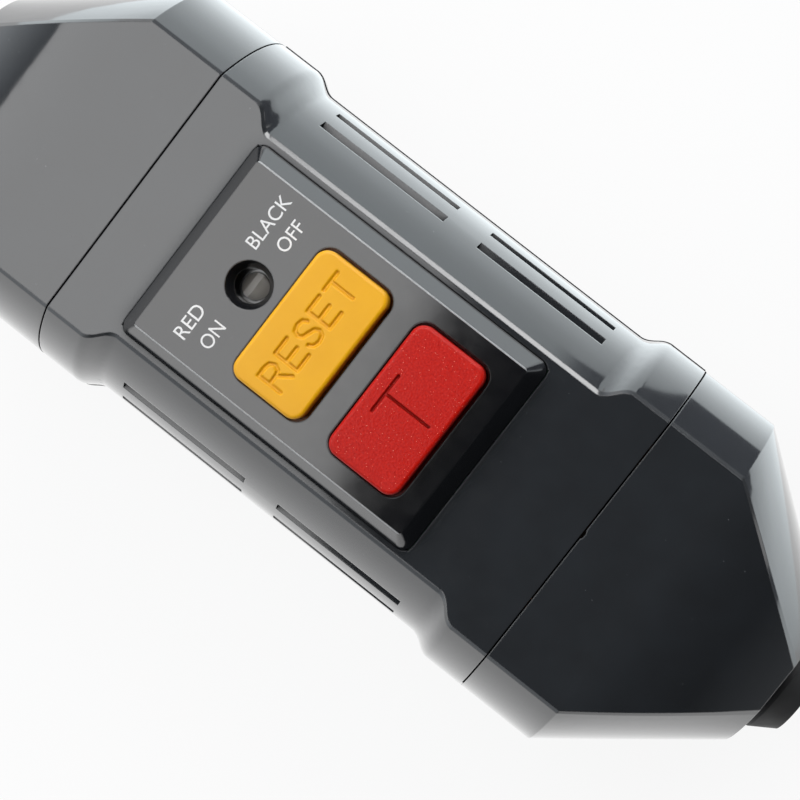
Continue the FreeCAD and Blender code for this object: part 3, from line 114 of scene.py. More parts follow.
def make_camera():
    data = bpy.data.cameras.new("camera")
    data.lens = LENS
    data.sensor_width = SENSOR_WIDTH
    data.clip_start = NEAREST_SEEN
    camera = bpy.data.objects.new("camera", data)
    bpy.context.scene.collection.objects.link(camera)
    forward = (CAMERA_TARGET - CAMERA_PLACE).normalized()
    along = Vector((1.0, 0.0, 0.0))
    along = (along - forward * along.dot(forward)).normalized()
    across = forward.cross(along)
    right = along * math.cos(AXIS_IN_PICTURE) - across * math.sin(AXIS_IN_PICTURE)
    up = -forward.cross(right)
    turn = Matrix((right, up, -forward)).transposed()
    camera.matrix_world = Matrix.Translation(CAMERA_PLACE) @ turn.to_4x4()
    bpy.context.scene.camera = camera


# Helpers for node trees

# The colour sockets of a Mix node
MIX_FIRST = 6
MIX_SECOND = 7
MIX_RESULT = 2


def maths(tree, operation, first, second=None):
    """A Math node's result; an input is a socket or a number."""
    node = tree.nodes.new("ShaderNodeMath")
    node.operation = operation
    for index, value in enumerate((first, second)):
        if isinstance(value, float):
            node.inputs[index].default_value = value
        elif value is not None:
            tree.links.new(value, node.inputs[index])
    return node.outputs[0]


def split_place(tree, kind):
    """X, Y and Z of a texture coordinate."""
    place = tree.nodes.new("ShaderNodeTexCoord")
    split = tree.nodes.new("ShaderNodeSeparateXYZ")
    tree.links.new(place.outputs[kind], split.inputs[0])
    return split.outputs


def mapped(tree, source, from_low, from_high, low, high):
    node = tree.nodes.new("ShaderNodeMapRange")
    node.inputs["From Min"].default_value = from_low
    node.inputs["From Max"].default_value = from_high
    node.inputs["To Min"].default_value = low
    node.inputs["To Max"].default_value = high
    tree.links.new(source, node.inputs["Value"])
    return node.outputs["Result"]


def mixed(tree, share, first, second):
    """A colour between two, each a socket or three numbers."""
    mix = tree.nodes.new("ShaderNodeMix")
    mix.data_type = "RGBA"
    tree.links.new(share, mix.inputs["Factor"])
    for index, colour in ((MIX_FIRST, first), (MIX_SECOND, second)):
        if isinstance(colour, tuple):
            mix.inputs[index].default_value = (*colour, 1.0)
        else:
            tree.links.new(colour, mix.inputs[index])
    return mix.outputs[MIX_RESULT]


def colour_ramp(tree, source, stops):
    """Colours by a value; each stop is its place and three numbers."""
    ramp = tree.nodes.new("ShaderNodeValToRGB")
    elements = ramp.color_ramp.elements
    for element, (place, colour) in ((elements[0], stops[0]), (elements[1], stops[-1])):
        element.position = place
        element.color = (*colour, 1.0)
    for place, colour in stops[1:-1]:
        elements.new(place).color = (*colour, 1.0)
    tree.links.new(source, ramp.inputs[0])
    return ramp.outputs[0]


def mixed_shaders(tree, share, first, second):
    mix = tree.nodes.new("ShaderNodeMixShader")
    for index, source in enumerate((share, first, second)):
        tree.links.new(source, mix.inputs[index])
    return mix.outputs[0]


def emptied(data):
    """The node tree of a new material or world, with nothing in it."""
    data.use_nodes = True
    data.node_tree.nodes.clear()
    return data.node_tree


def put_out(tree, kind, source):
    out = tree.nodes.new(kind)
    tree.links.new(source, out.inputs["Surface"])


# Floor, reflection cards, world and lights

def stage_quad(name, corners, material):
    """A flat piece of the studio with four corners."""
    mesh = bpy.data.meshes.new(name)
    mesh.from_pydata(corners, [], [(0, 1, 2, 3)])
    mesh.materials.append(material)
    made = bpy.data.objects.new(name, mesh)
    bpy.context.scene.collection.objects.link(made)
    return made


def seen_directly(tree):
    """1 for camera, glossy and transmission rays, 0 for the rest."""
    path = tree.nodes.new("ShaderNodeLightPath")
    seen = maths(tree, "MAXIMUM", path.outputs["Is Camera Ray"], path.outputs["Is Glossy Ray"])
    return maths(tree, "MAXIMUM", seen, path.outputs["Is Transmission Ray"])


def floor_material():
    """Pale paper that keeps part of the object's shadow and shows as white elsewhere."""
    material = bpy.data.materials.new("pale_floor")
    tree = emptied(material)
    paper = tree.nodes.new("ShaderNodeBsdfDiffuse")
    paper.inputs["Color"].default_value = FLOOR_COLOUR
    glow = tree.nodes.new("ShaderNodeEmission")
    glow.inputs["Color"].default_value = WHITE
    share = maths(tree, "MULTIPLY", seen_directly(tree), FLOOR_WHITE)
    surface = mixed_shaders(tree, share, paper.outputs[0], glow.outputs[0])
    put_out(tree, "ShaderNodeOutputMaterial", surface)
    return material


def make_floor():
    half = FLOOR_SIZE / 2
    sides = ((-half, -half), (half, -half), (half, half), (-half, half))
    corners = [(x, y, -FLOOR_DROP) for x, y in sides]
    stage_quad("floor", corners, floor_material())


def level_along(tree, axis, levels):
    """A value that runs through the levels, each given at its place on the axis."""
    place = split_place(tree, "Object")[axis]
    total = levels[0][1]
    for (from_place, before), (to_place, after) in zip(levels, levels[1:]):
        step = mapped(tree, place, from_place, to_place, 0.0, after - before)
        total = maths(tree, "ADD", step, total)
    return total


def card(name, corners, colour, along_y=None, along_x=None):
    """A flat card that only glossy rays see; it glows by its colour and perhaps by its place."""
    material = bpy.data.materials.new(name)
    tree = emptied(material)
    glow = tree.nodes.new("ShaderNodeEmission")
    glow.inputs["Color"].default_value = colour
    if along_y:
        strength = maths(tree, "MULTIPLY", level_along(tree, "Y", along_y), level_along(tree, "X", along_x))
        tree.links.new(strength, glow.inputs["Strength"])
    put_out(tree, "ShaderNodeOutputMaterial", glow.outputs[0])
    made = stage_quad(name, corners, material)
    made.visible_camera = False
    made.visible_diffuse = False
    made.visible_shadow = False
    made.visible_transmission = False


def flat_card(name, near, far, edges, lift, colour, along_y=None, along_x=None):
    """A card on the floor, from its left edge, given near and far, to the cards' common right edge."""
    corners = [
        (edges[0], near, lift), (CARD_REACH, near, lift), (CARD_REACH, far, lift), (edges[1], far, lift)]
    card(name, corners, colour, along_y, along_x)


def wall_card(name, left, right, colour):
    corners = [(x, CARD_FAR, z) for x, z in ((left, 0), (right, 0), (right, CARD_TOP), (left, CARD_TOP))]
    card(name, corners, colour)


def make_cards():
    flat_card("bright_card", CARD_NEAR, CARD_FAR, (-CARD_REACH, -CARD_REACH), CARD_LIFT, CARD_TINT,
              CARD_GLOW, CARD_SHARE)
    above = 2 * CARD_LIFT
    flat_card("dark_card", DARK_NEAR, DARK_FAR, (DARK_EDGE_NEAR, DARK_EDGE_FAR), above, DARK_COLOUR)
    flat_card("far_dark_card", DARK_FAR, CARD_FAR, (DARK_EDGE_FAR, DARK_WALL_EDGE), above, DARK_COLOUR)
    wall_card("bright_wall", -CARD_REACH, DARK_WALL_EDGE, WALL_COLOUR)
    wall_card("dark_wall", DARK_WALL_EDGE, CARD_REACH, DARK_COLOUR)


def make_world():
    """White to the camera; a pale horizon, darker upwards and towards +X, to all other rays."""
    world = bpy.data.worlds.new("studio")
    bpy.context.scene.world = world
    tree = emptied(world)
    way = split_place(tree, "Generated")
    sky = tree.nodes.new("ShaderNodeBackground")
    tree.links.new(colour_ramp(tree, way["Z"], SKY), sky.inputs["Color"])
    tree.links.new(mapped(tree, way["X"], *SKY_SHADE), sky.inputs["Strength"])
    backdrop = tree.nodes.new("ShaderNodeBackground")
    backdrop.inputs["Color"].default_value = WHITE
    path = tree.nodes.new("ShaderNodeLightPath")
    surface = mixed_shaders(tree, path.outputs["Is Camera Ray"], sky.outputs[0], backdrop.outputs[0])
    put_out(tree, "ShaderNodeOutputWorld", surface)


def make_light(name, place, target, size, radiance, turn=0.0):
    """Rectangular light of an even radiance, turned about its own axis."""
    data = bpy.data.lights.new(name, "AREA")
    data.shape = "RECTANGLE"
    data.size, data.size_y = size
    data.energy = radiance * math.pi * size[0] * size[1]
    light = bpy.data.objects.new(name, data)
    bpy.context.scene.collection.objects.link(light)
    light.location = place
    light.rotation_mode = "QUATERNION"
    aim = (Vector(target) - Vector(place)).to_track_quat("-Z", "Y")
    light.rotation_quaternion = aim @ Quaternion((0, 0, 1), turn)


def make_lights():
    half = SOFTBOX_SIZE[0] / 2
    middle = Vector((SOFTBOX_EDGE[0] - half * math.cos(SOFTBOX_TURN),
                     SOFTBOX_EDGE[1] - half * math.sin(SOFTBOX_TURN), SOFTBOX_HEIGHT))
    make_light("softbox", middle, middle - UP, SOFTBOX_SIZE, SOFTBOX_RADIANCE, SOFTBOX_TURN)
    make_light("side_light", SIDE_LIGHT_PLACE, (0, 0, 0), SIDE_LIGHT_SIZE, SIDE_LIGHT_RADIANCE)


# Materials, in metres; a plastic's grain is its noise's scale and the depth of its bump

# Noise stays mostly within these values
NOISE_LOW = 0.3
NOISE_HIGH = 0.7
# Scale and detail of the noise in tones, in gloss, in drawn metal's tones and in its streaks
TONE_SCALE = 140.0
TONE_DETAIL = 3.0
GLOSS_NOISE = (420.0, 4.0)
METAL_NOISE = (500.0, 4.0)
STREAK_NOISE = (1800.0, 3.0)
GRAIN_DETAIL = 2.0

# Specks: how many, their radius as a part of the mean spacing, the share shown, and their colour
DUST = (650.0, 0.045, 0.3, (0.2, 0.21, 0.22))
MICA = (3000.0, 0.14, 0.5, (0.95, 0.4, 0.3))

# How far creases and slots are felt for, and the open shares that count as shut and as open
CREASE = (0.0022, 0.3, 0.72)
SLOT = (0.0025, 0.5, 0.93)
CREASE_SAMPLES = 8
# What is left of the coat and of the specular level in a slot
SLOT_COAT = 0.05
SLOT_SPECULAR = 0.2

# Coat and specular level of the polished housing
GLOSS = (1.0, 0.8)
COAT_ROUGHNESS = 0.07
POLISH_ROUGHNESS = (0.08, 0.13)
POLISH_GRAIN = (7000.0, 5e-7)
PANEL_EDGE = 3e-4
# The panel's coat by how far a face looks up: from a slope to the top
PANEL_POLISH = (0.6, 0.95, 0.1, 1.0)
# Half the width of the painted highlight line along the panel's top edge
EDGE_HIGHLIGHT_HALF_WIDTH = 0.00015
EDGE_HIGHLIGHT_COLOUR = (0.32, 0.33, 0.34)
# How far the panel's foot spreads beyond its top
PANEL_SPREAD = 0.00215


def new_material(name):
    material = bpy.data.materials.new(name)
    material.use_nodes = True
    tree = material.node_tree
    return material, tree, tree.nodes["Principled BSDF"]


def noise(tree, scale, detail, stretch=None):
    """Solid noise in the piece's own metres; stretch squeezes it along the axes."""
    place = tree.nodes.new("ShaderNodeTexCoord")
    node = tree.nodes.new("ShaderNodeTexNoise")
    node.inputs["Scale"].default_value = scale
    node.inputs["Detail"].default_value = detail
    source = place.outputs["Object"]
    if stretch:
        squeeze = tree.nodes.new("ShaderNodeMapping")
        squeeze.inputs["Scale"].default_value = stretch
        tree.links.new(source, squeeze.inputs["Vector"])
        source = squeeze.outputs[0]
    tree.links.new(source, node.inputs["Vector"])
    return node.outputs["Fac"]


def spread(tree, source, low, high):
    """Noise mapped to low..high."""
    return mapped(tree, source, NOISE_LOW, NOISE_HIGH, low, high)


def two_tones(tree, source, first, second):
    return colour_ramp(tree, source, ((NOISE_LOW, first), (NOISE_HIGH, second)))


def roughen(tree, shader, source, depth, edge=0.0):
    """Bump from a source, over edges that are softened by a radius."""
    bump = tree.nodes.new("ShaderNodeBump")
    bump.inputs["Strength"].default_value = 1.0
    bump.inputs["Distance"].default_value = depth
    tree.links.new(source, bump.inputs["Height"])
    if edge:
        bevel = tree.nodes.new("ShaderNodeBevel")
        bevel.inputs["Radius"].default_value = edge
        tree.links.new(bevel.outputs[0], bump.inputs["Normal"])
    tree.links.new(bump.outputs[0], shader.inputs["Normal"])
    tree.links.new(bump.outputs[0], shader.inputs["Coat Normal"])


def openness(tree, reach, shut, open_share, low, high):
    """A value that is low in slots and creases and high on open faces."""
    around = tree.nodes.new("ShaderNodeAmbientOcclusion")
    around.samples = CREASE_SAMPLES
    around.inputs["Distance"].default_value = reach
    return mapped(tree, around.outputs["AO"], shut, open_share, low, high)


def dull_slots(tree, shader, coat, specular):
    """Less gloss where the faces around stand in the way of the light."""
    for socket, level, left in (
            ("Coat Weight", coat, SLOT_COAT), ("Specular IOR Level", specular, SLOT_SPECULAR)):
        tree.links.new(openness(tree, *SLOT, left * level, level), shader.inputs[socket])


def specks(tree, base, scale, radius, share, colour):
    """Tiny scattered specks of a colour over the base."""
    place = tree.nodes.new("ShaderNodeTexCoord")
    cells = tree.nodes.new("ShaderNodeTexVoronoi")
    cells.inputs["Scale"].default_value = scale
    tree.links.new(place.outputs["Object"], cells.inputs["Vector"])
    parts = tree.nodes.new("ShaderNodeSeparateColor")
    tree.links.new(cells.outputs["Color"], parts.inputs[0])
    dot = maths(tree, "LESS_THAN", cells.outputs["Distance"], radius)
    chosen = maths(tree, "LESS_THAN", parts.outputs[0], share)
    shown = maths(tree, "MULTIPLY", dot, chosen)
    return mixed(tree, maths(tree, "MULTIPLY", shown, parts.outputs[1]), base, colour)


def plastic(name, first, second, rough, grain, edge=0.0, dots=None, tone_scale=TONE_SCALE, crease_shade=None,
            gloss=None, **sockets):
    """Moulded plastic: two close tones, uneven gloss, the mould's fine texture, perhaps specks and perhaps
    painted shade in creases.
    """
    material, tree, shader = new_material(name)
    colour = two_tones(tree, noise(tree, tone_scale, TONE_DETAIL), first, second)
    if dots:
        colour = specks(tree, colour, *dots)
    # Painted shade: the colour turns towards a darker one in creases, grooves and recesses, where the
    # ambient occlusion is low
    if crease_shade:
        colour = mixed(tree, openness(tree, *CREASE, 0.0, 1.0), crease_shade, colour)
    tree.links.new(colour, shader.inputs["Base Color"])
    tree.links.new(spread(tree, noise(tree, *GLOSS_NOISE), *rough), shader.inputs["Roughness"])
    scale, depth = grain
    roughen(tree, shader, noise(tree, scale, GRAIN_DETAIL), depth, edge)
    for socket, value in sockets.items():
        shader.inputs[socket.replace("_", " ")].default_value = value
    if gloss:
        dull_slots(tree, shader, *gloss)
    return material


def metal(name, first, second, rough, stretch, depth, edge):
    """Worked metal: drawn streaks, uneven gloss and a slight change of tone."""
    material, tree, shader = new_material(name)
    shader.inputs["Metallic"].default_value = 1.0
    tree.links.new(two_tones(tree, noise(tree, *METAL_NOISE), first, second), shader.inputs["Base Color"])
    streaks = noise(tree, *STREAK_NOISE, stretch)
    tree.links.new(spread(tree, streaks, *rough), shader.inputs["Roughness"])
    roughen(tree, shader, streaks, depth, edge)
    return material


def housing_plastic():
    return plastic(
        "housing_plastic", (0.021, 0.023, 0.026), (0.024, 0.027, 0.031), POLISH_ROUGHNESS, POLISH_GRAIN,
        2.5e-4, DUST, gloss=GLOSS, Coat_Roughness=COAT_ROUGHNESS)


def painted_edge_highlight(tree, base):
    """A thin pale painted highlight line along the edge of the panel's top."""
    x, y, z = split_place(tree, "Object")
    low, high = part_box("button_panel")
    half_length = (high.x - low.x) / 2 - PANEL_SPREAD
    half_width = (high.y - low.y) / 2 - PANEL_SPREAD
    from_middle = maths(tree, "ABSOLUTE", maths(tree, "SUBTRACT", x, (low.x + high.x) / 2))
    past_end = maths(tree, "SUBTRACT", from_middle, half_length)
    past_side = maths(tree, "SUBTRACT", maths(tree, "ABSOLUTE", y), half_width)
    past = maths(tree, "ABSOLUTE", maths(tree, "MAXIMUM", past_end, past_side))
    near = maths(tree, "LESS_THAN", past, EDGE_HIGHLIGHT_HALF_WIDTH)
    on_top = maths(tree, "GREATER_THAN", z, high.z - EDGE_HIGHLIGHT_HALF_WIDTH)
    # Painted highlight: a pale line is mixed into the colour along the top's edge
    return mixed(tree, maths(tree, "MULTIPLY", near, on_top), base, EDGE_HIGHLIGHT_COLOUR)


def panel_plastic():
    """The panel's black plastic: a polished, darker top and plainer slopes, and a painted highlight along
    the top's edge.
    """
    material, tree, shader = new_material("panel_plastic")
    polish = mapped(tree, split_place(tree, "Normal")["Z"], *PANEL_POLISH)
    tree.links.new(polish, shader.inputs["Coat Weight"])
    tones = noise(tree, TONE_SCALE, TONE_DETAIL)
    slope = two_tones(tree, tones, (0.011, 0.012, 0.014), (0.014, 0.015, 0.018))
    top = two_tones(tree, tones, (0.002, 0.002, 0.003), (0.004, 0.004, 0.005))
    colour = mixed(tree, polish, slope, specks(tree, top, *DUST))
    # The panel's colour carries a painted highlight along the top's edge
    tree.links.new(painted_edge_highlight(tree, colour), shader.inputs["Base Color"])
    tree.links.new(
        spread(tree, noise(tree, *GLOSS_NOISE), *POLISH_ROUGHNESS), shader.inputs["Roughness"])
    shader.inputs["Coat Roughness"].default_value = COAT_ROUGHNESS
    shader.inputs["Specular IOR Level"].default_value = GLOSS[1]
    scale, depth = POLISH_GRAIN
    roughen(tree, shader, noise(tree, scale, GRAIN_DETAIL), depth, PANEL_EDGE)
    return material


def yellow_plastic():
    # The darker third colour is painted shade in the engraved grooves and along the cap's sides near the
    # panel
    return plastic(
        "yellow_plastic", (0.86, 0.41, 0.004), (0.91, 0.45, 0.006), (0.3, 0.4), (6000.0, 5e-6), 2e-4,
        crease_shade=(0.34, 0.09, 0.002), Specular_IOR_Level=0.2, Coat_Weight=0.4, Coat_Roughness=0.25)


def red_plastic():
    # The darker third colour is painted shade in the engraved groove and along the cap's sides near the
    # panel
    return plastic(
        "red_plastic", (0.46, 0.005, 0.002), (0.6, 0.011, 0.004), (0.36, 0.46), (3800.0, 5e-5), 2e-4,
        MICA, tone_scale=3200.0, crease_shade=(0.15, 0.002, 0.001), Specular_IOR_Level=0.1, Coat_Weight=0.3,
        Coat_Roughness=0.25)


def black_nylon():
    return plastic(
        "black_nylon", (0.02, 0.02, 0.021), (0.035, 0.035, 0.036), (0.4, 0.55), (5000.0, 6e-6), 1.5e-4)


def white_nylon():
    return plastic(
        "white_nylon", (0.72, 0.71, 0.66), (0.8, 0.79, 0.75), (0.4, 0.5), (4000.0, 4e-6), 1.5e-4)


def board_laminate():
    return plastic(
        "board_laminate", (0.03, 0.17, 0.07), (0.05, 0.24, 0.1), (0.35, 0.5), (2500.0, 8e-6))


def capacitor_case():
    return plastic(
        "capacitor_case", (0.68, 0.44, 0.06), (0.78, 0.53, 0.09), (0.25, 0.35), (3000.0, 4e-6), 3e-4)


def varistor_coating():
    return plastic(
        "varistor_coating", (0.05, 0.1, 0.34), (0.08, 0.15, 0.45), (0.2, 0.32), (1500.0, 2e-5), 4e-4)


def resistor_coating():
    return plastic(
        "resistor_coating", (0.6, 0.5, 0.33), (0.7, 0.6, 0.42), (0.4, 0.5), (2500.0, 1e-5), 3e-4)


def black_rubber():
    return plastic(
        "black_rubber", (0.017, 0.017, 0.018), (0.028, 0.028, 0.029), (0.5, 0.62), (4500.0, 8e-6), 2e-4)


def copper():
    return metal("copper", (0.72, 0.36, 0.2), (0.82, 0.46, 0.3), (0.22, 0.4), (1, 0.1, 1), 3e-6, 1e-4)


def brass():
    return metal("brass", (0.7, 0.5, 0.22), (0.8, 0.62, 0.32), (0.2, 0.38), (1, 1, 0.12), 3e-6, 2e-4)


def silver_contact():
    return metal(
        "silver_contact", (0.76, 0.75, 0.72), (0.86, 0.85, 0.83), (0.22, 0.36), (1, 1, 1), 3e-6, 1e-4)


def steel():
    return metal(
        "steel", (0.5, 0.51, 0.52), (0.66, 0.67, 0.68), (0.22, 0.4), (0.15, 0.15, 1), 4e-6, 1e-4)


def magnet_iron():
    return metal(
        "magnet_iron", (0.26, 0.26, 0.28), (0.36, 0.36, 0.38), (0.32, 0.5), (1, 1, 0.2), 5e-6, 1.5e-4)


def clear_plastic():
    """The window's lens: slightly smoky, with faint moulding waves."""
    material, tree, shader = new_material("clear_plastic")
    shader.inputs["Base Color"].default_value = (0.95, 0.9, 0.83, 1.0)
    shader.inputs["Transmission Weight"].default_value = 0.7
    shader.inputs["IOR"].default_value = 1.49
    tree.links.new(spread(tree, noise(tree, 900.0, 3.0), 0.02, 0.09), shader.inputs["Roughness"])
    roughen(tree, shader, noise(tree, 2500.0, GRAIN_DETAIL), 4e-6)
    return material


def white_print():
    return plastic("white_print", (0.82, 0.83, 0.84), (0.9, 0.9, 0.9), (0.4, 0.5), (9000.0, 1e-6))


def make_materials():
    """Each material by its name, which for a slot of the record is the slot's name."""
    makers = (
        housing_plastic, panel_plastic, yellow_plastic, red_plastic, black_nylon, white_nylon,
        board_laminate, capacitor_case, varistor_coating, resistor_coating, black_rubber, copper, brass,
        silver_contact, steel, magnet_iron, clear_plastic, white_print)
    return {maker.__name__: maker() for maker in makers}


def dress_cad_nodes():
    slots = {part["node"]: part["material_slot"] for part in frame["record"]["subparts"]}
    for name, node in NODES.items():
        node.data.materials[0] = MATERIALS[slots[name]]
    NODES["button_panel"].data.materials[0] = MATERIALS["panel_plastic"]


# Sizes of the replaced pieces, in millimetres; their places come from the CAD nodes

def node_box(name):
    low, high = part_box(name)
    return low / MM, high / MM


RESET_LOW, RESET_HIGH = node_box("reset_button")
TEST_LOW, TEST_HIGH = node_box("test_button")
PANEL_TOP = node_box("button_panel")[1].z
BUTTON_TOP = RESET_HIGH.z

# A lip round each button's foot holds it under the panel
LIP_REACH = 1.2
LIP_THICKNESS = 1.2
LIP_PLAY = 0.05
PANEL_WALL = 2.0
LIP_TOP = PANEL_TOP - PANEL_WALL - LIP_PLAY
LIP_BOTTOM = LIP_TOP - LIP_THICKNESS

BUTTON_CORNER = 2.0
BUTTON_EDGE = 0.55
BUTTON_CROWN = 0.3
CROWN_POWER = 4
BUTTON_SKIN = 2.0
STEM_RADIUS = 2.5
STEM_CHAMFER = 0.3
CAP_LENGTH = RESET_HIGH.y - RESET_LOW.y - 2 * LIP_REACH
CAP_WIDTH = RESET_HIGH.x - RESET_LOW.x - 2 * LIP_REACH
RESET_X = (RESET_LOW.x + RESET_HIGH.x) / 2
TEST_X = (TEST_LOW.x + TEST_HIGH.x) / 2
# Spacing of the points on a cap, and the steps across its soft edge
CAP_MESH = 0.11
EDGE_STEPS = 8

# Each engraved word: the X of its letters' feet, its middle Y, its height and how much it is widened
RESET_WORD = ("RESET", -4.8, 0.15, 3.85, 1.0)
TEST_WORD = ("T", 14.2, 0.07, 7.5, 2.0)
# Width and depth of the engraved letters
RESET_GROOVE = (0.5, 0.3)
TEST_GROOVE = (0.38, 0.42)
# Parts of a groove's width: from its middle to the end of its floor, and across its side
GROOVE_FLOOR = 0.2
GROOVE_SIDE = 0.55
LETTER_GAP = 1.03

WIRE = 0.8
TURN_POINTS = 24
WIRE_POINTS = 8
# How much closer the end turns of a spring lie than the mean
END_CLOSING = 0.4

# Angles between faces above which an edge stays sharp
SHARP = 32.0
SPRING_SHARP = 60.0
MERGE_DISTANCE = 0.0005


# Building meshes, in millimetres

def piece(name, points, faces, slot, body, nodes=(), sharp=SHARP):
    """A closed skin that stands for CAD nodes and rides on a body, where one is given."""
    mesh = bpy.data.meshes.new(name)
    mesh.from_pydata([Vector(point) * MM for point in points], [], faces)
    skin = bmesh.new()
    skin.from_mesh(mesh)
    bmesh.ops.remove_doubles(skin, verts=skin.verts, dist=MERGE_DISTANCE * MM)
    bmesh.ops.recalc_face_normals(skin, faces=skin.faces)
    skin.to_mesh(mesh)
    skin.free()
    mesh.materials.append(MATERIALS[slot])
    mesh.shade_smooth()
    mesh.set_sharp_from_angle(angle=math.radians(sharp))
    made = bpy.data.objects.new(name, mesh)
    bpy.context.scene.collection.objects.link(made)
    if nodes:
        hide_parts(*nodes)
    if body:
        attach(made, body)
    return made


def rounded_loop(middle, size, corner, level, counts):
    """Points round a rounded rectangle; counts are for a side along X, one along Y and a corner."""
    half_x = size[0] / 2 - corner
    half_y = size[1] / 2 - corner
    along_x, along_y, bend = counts
    corners = []
    for quarter, (side_x, side_y) in enumerate(((1, 1), (-1, 1), (-1, -1), (1, -1))):
        centre = Vector((middle[0] + side_x * half_x, middle[1] + side_y * half_y, level))
        arc = []
        for step in range(bend + 1):
            turn = QUARTER_TURN * (quarter + step / bend)
            arc.append(centre + Vector((math.cos(turn), math.sin(turn), 0)) * corner)
        corners.append(arc)
    points = []
    for quarter, arc in enumerate(corners):
        points += arc[:-1]
        run = along_x if quarter % 2 == 0 else along_y
        after = corners[(quarter + 1) % 4][0]
        points += [arc[-1].lerp(after, step / run) for step in range(run)]
    return points


def round_loop(middle, radius, level, pattern):
    """A circle whose points lie in the directions of the pattern's points."""
    centre = Vector((middle[0], middle[1], level))
    points = []
    for point in pattern:
        out = Vector((point.x - middle[0], point.y - middle[1], 0)).normalized()
        points.append(centre + out * radius)
    return points


def loft(loops, close_first=False, close_last=False):
    """Points and faces of a skin through loops of equal length."""
    size = len(loops[0])
    points = [point for loop in loops for point in loop]
    faces = []
    for row in range(len(loops) - 1):
        low = row * size
        high = low + size
        for step in range(size):
            after = (step + 1) % size
            faces.append((low + step, low + after, high + after, high + step))
    if close_first:
        faces.append(tuple(reversed(range(size))))
    if close_last:
        faces.append(tuple(range(len(points) - size, len(points))))
    return points, faces


# Engraved letters: each has its width in millimetres and its strokes in a box one unit wide and high

LETTERS = {
    "E": (2.65, [[(1, 1), (0, 1), (0, 0), (1, 0)], [(0, 0.5), (0.92, 0.5)]]),
    "T": (3.0, [[(0, 1), (1, 1)], [(0.5, 1), (0.5, 0)]]),
    "R": (2.8, [
        [(0, 0), (0, 1), (0.5, 1), (0.78, 0.95), (0.92, 0.75), (0.78, 0.55), (0.5, 0.5), (0, 0.5)],
        [(0.5, 0.5), (1, 0)]]),
    "S": (2.6, [[
        (0.97, 0.78), (0.84, 0.94), (0.5, 1.0), (0.15, 0.92), (0.04, 0.74), (0.16, 0.58), (0.5, 0.5),
        (0.86, 0.41), (1.0, 0.23), (0.85, 0.06), (0.5, 0.0), (0.14, 0.07), (0.0, 0.24)]]),
}


def word_strokes(word, foot_x, middle_y, height, widen):
    """Runs between two points for a word that reads along +Y, with its letters' tops towards -X."""
    widths = [LETTERS[letter][0] * widen for letter in word]
    start = middle_y - (sum(widths) + LETTER_GAP * (len(word) - 1)) / 2
    runs = []
    for letter, width in zip(word, widths):
        for stroke in LETTERS[letter][1]:
            path = [Vector((foot_x - high * height, start + along * width)) for along, high in stroke]
            runs += list(zip(path, path[1:]))
        start += width + LETTER_GAP
    return runs


def engraved_area(runs, margin):
    """Lowest and highest X, then Y, that the strokes reach."""
    ends = [end for run in runs for end in run]
    across = [end.x for end in ends]
    along = [end.y for end in ends]
    return min(across) - margin, max(across) + margin, min(along) - margin, max(along) + margin


def distance_to_run(point, start, end):
    run = end - start
    part = (point - start).dot(run) / run.length_squared
    return (point - start - run * min(max(part, 0.0), 1.0)).length


def groove(point, runs, width, depth):
    """Depth of the soft engraved groove at a point."""
    nearest = min(distance_to_run(point, start, end) for start, end in runs)
    part = min(max((nearest - width * GROOVE_FLOOR) / (width * GROOVE_SIDE), 0.0), 1.0)
    return depth * (1.0 - part * part * (3.0 - 2.0 * part))


# Buttons

def inside_rounded(x, y, half_x, half_y, corner):
    """How far a point lies inside a rounded rectangle's edge."""
    past_x = abs(x) - (half_x - corner)
    past_y = abs(y) - (half_y - corner)
    outside = math.hypot(max(past_x, 0.0), max(past_y, 0.0))
    return corner - outside - min(max(past_x, past_y), 0.0)


def cap_level(x, y, inside, runs, cut, area):
    """Height of the cap's top: a soft edge, a crowned middle and the grooves."""
    level = BUTTON_TOP - BUTTON_CROWN * abs(2 * y / CAP_LENGTH) ** CROWN_POWER
    if inside < BUTTON_EDGE:
        short = BUTTON_EDGE - inside
        level -= BUTTON_EDGE - math.sqrt(max(BUTTON_EDGE ** 2 - short ** 2, 0.0))
    low_x, high_x, low_y, high_y = area
    if low_x < x < high_x and low_y < y < high_y:
        level -= groove(Vector((x, y)), runs, *cut)
    return level


def cap_counts():
    """Steps of a cap's outline: a side along X, one along Y and a corner."""
    straight_x = CAP_WIDTH - 2 * BUTTON_CORNER
    straight_y = CAP_LENGTH - 2 * BUTTON_CORNER
    bend = BUTTON_CORNER * QUARTER_TURN
    return tuple(round(run / CAP_MESH) for run in (straight_x, straight_y, bend))


def ways_in(half_width):
    """Distances in from a cap's rim: close together over the soft edge, then even."""
    turns = [QUARTER_TURN * step / EDGE_STEPS for step in range(EDGE_STEPS)]
    over_edge = [BUTTON_EDGE * (1 - math.cos(turn)) for turn in turns]
    flat = half_width - BUTTON_EDGE
    steps = round(flat / CAP_MESH)
    return over_edge + [BUTTON_EDGE + flat * step / steps for step in range(steps + 1)]


def cap_loops(x, rim, runs, cut):
    """Loops from the middle line of a cap's top out to its rim."""
    half_x = CAP_WIDTH / 2
    half_y = CAP_LENGTH / 2
    spine = half_y - half_x
    area = engraved_area(runs, cut[0])
    loops = []
    for way in reversed(ways_in(half_x)):
        loop = []
        for point in rim:
            middle = Vector((x, min(max(point.y, -spine), spine), 0.0))
            place = point.lerp(middle, way / half_x)
            inside = inside_rounded(place.x - x, place.y, half_x, half_y, BUTTON_CORNER)
            place.z = cap_level(place.x, place.y, inside, runs, cut, area)
            loop.append(place)
        loops.append(loop)
    return loops


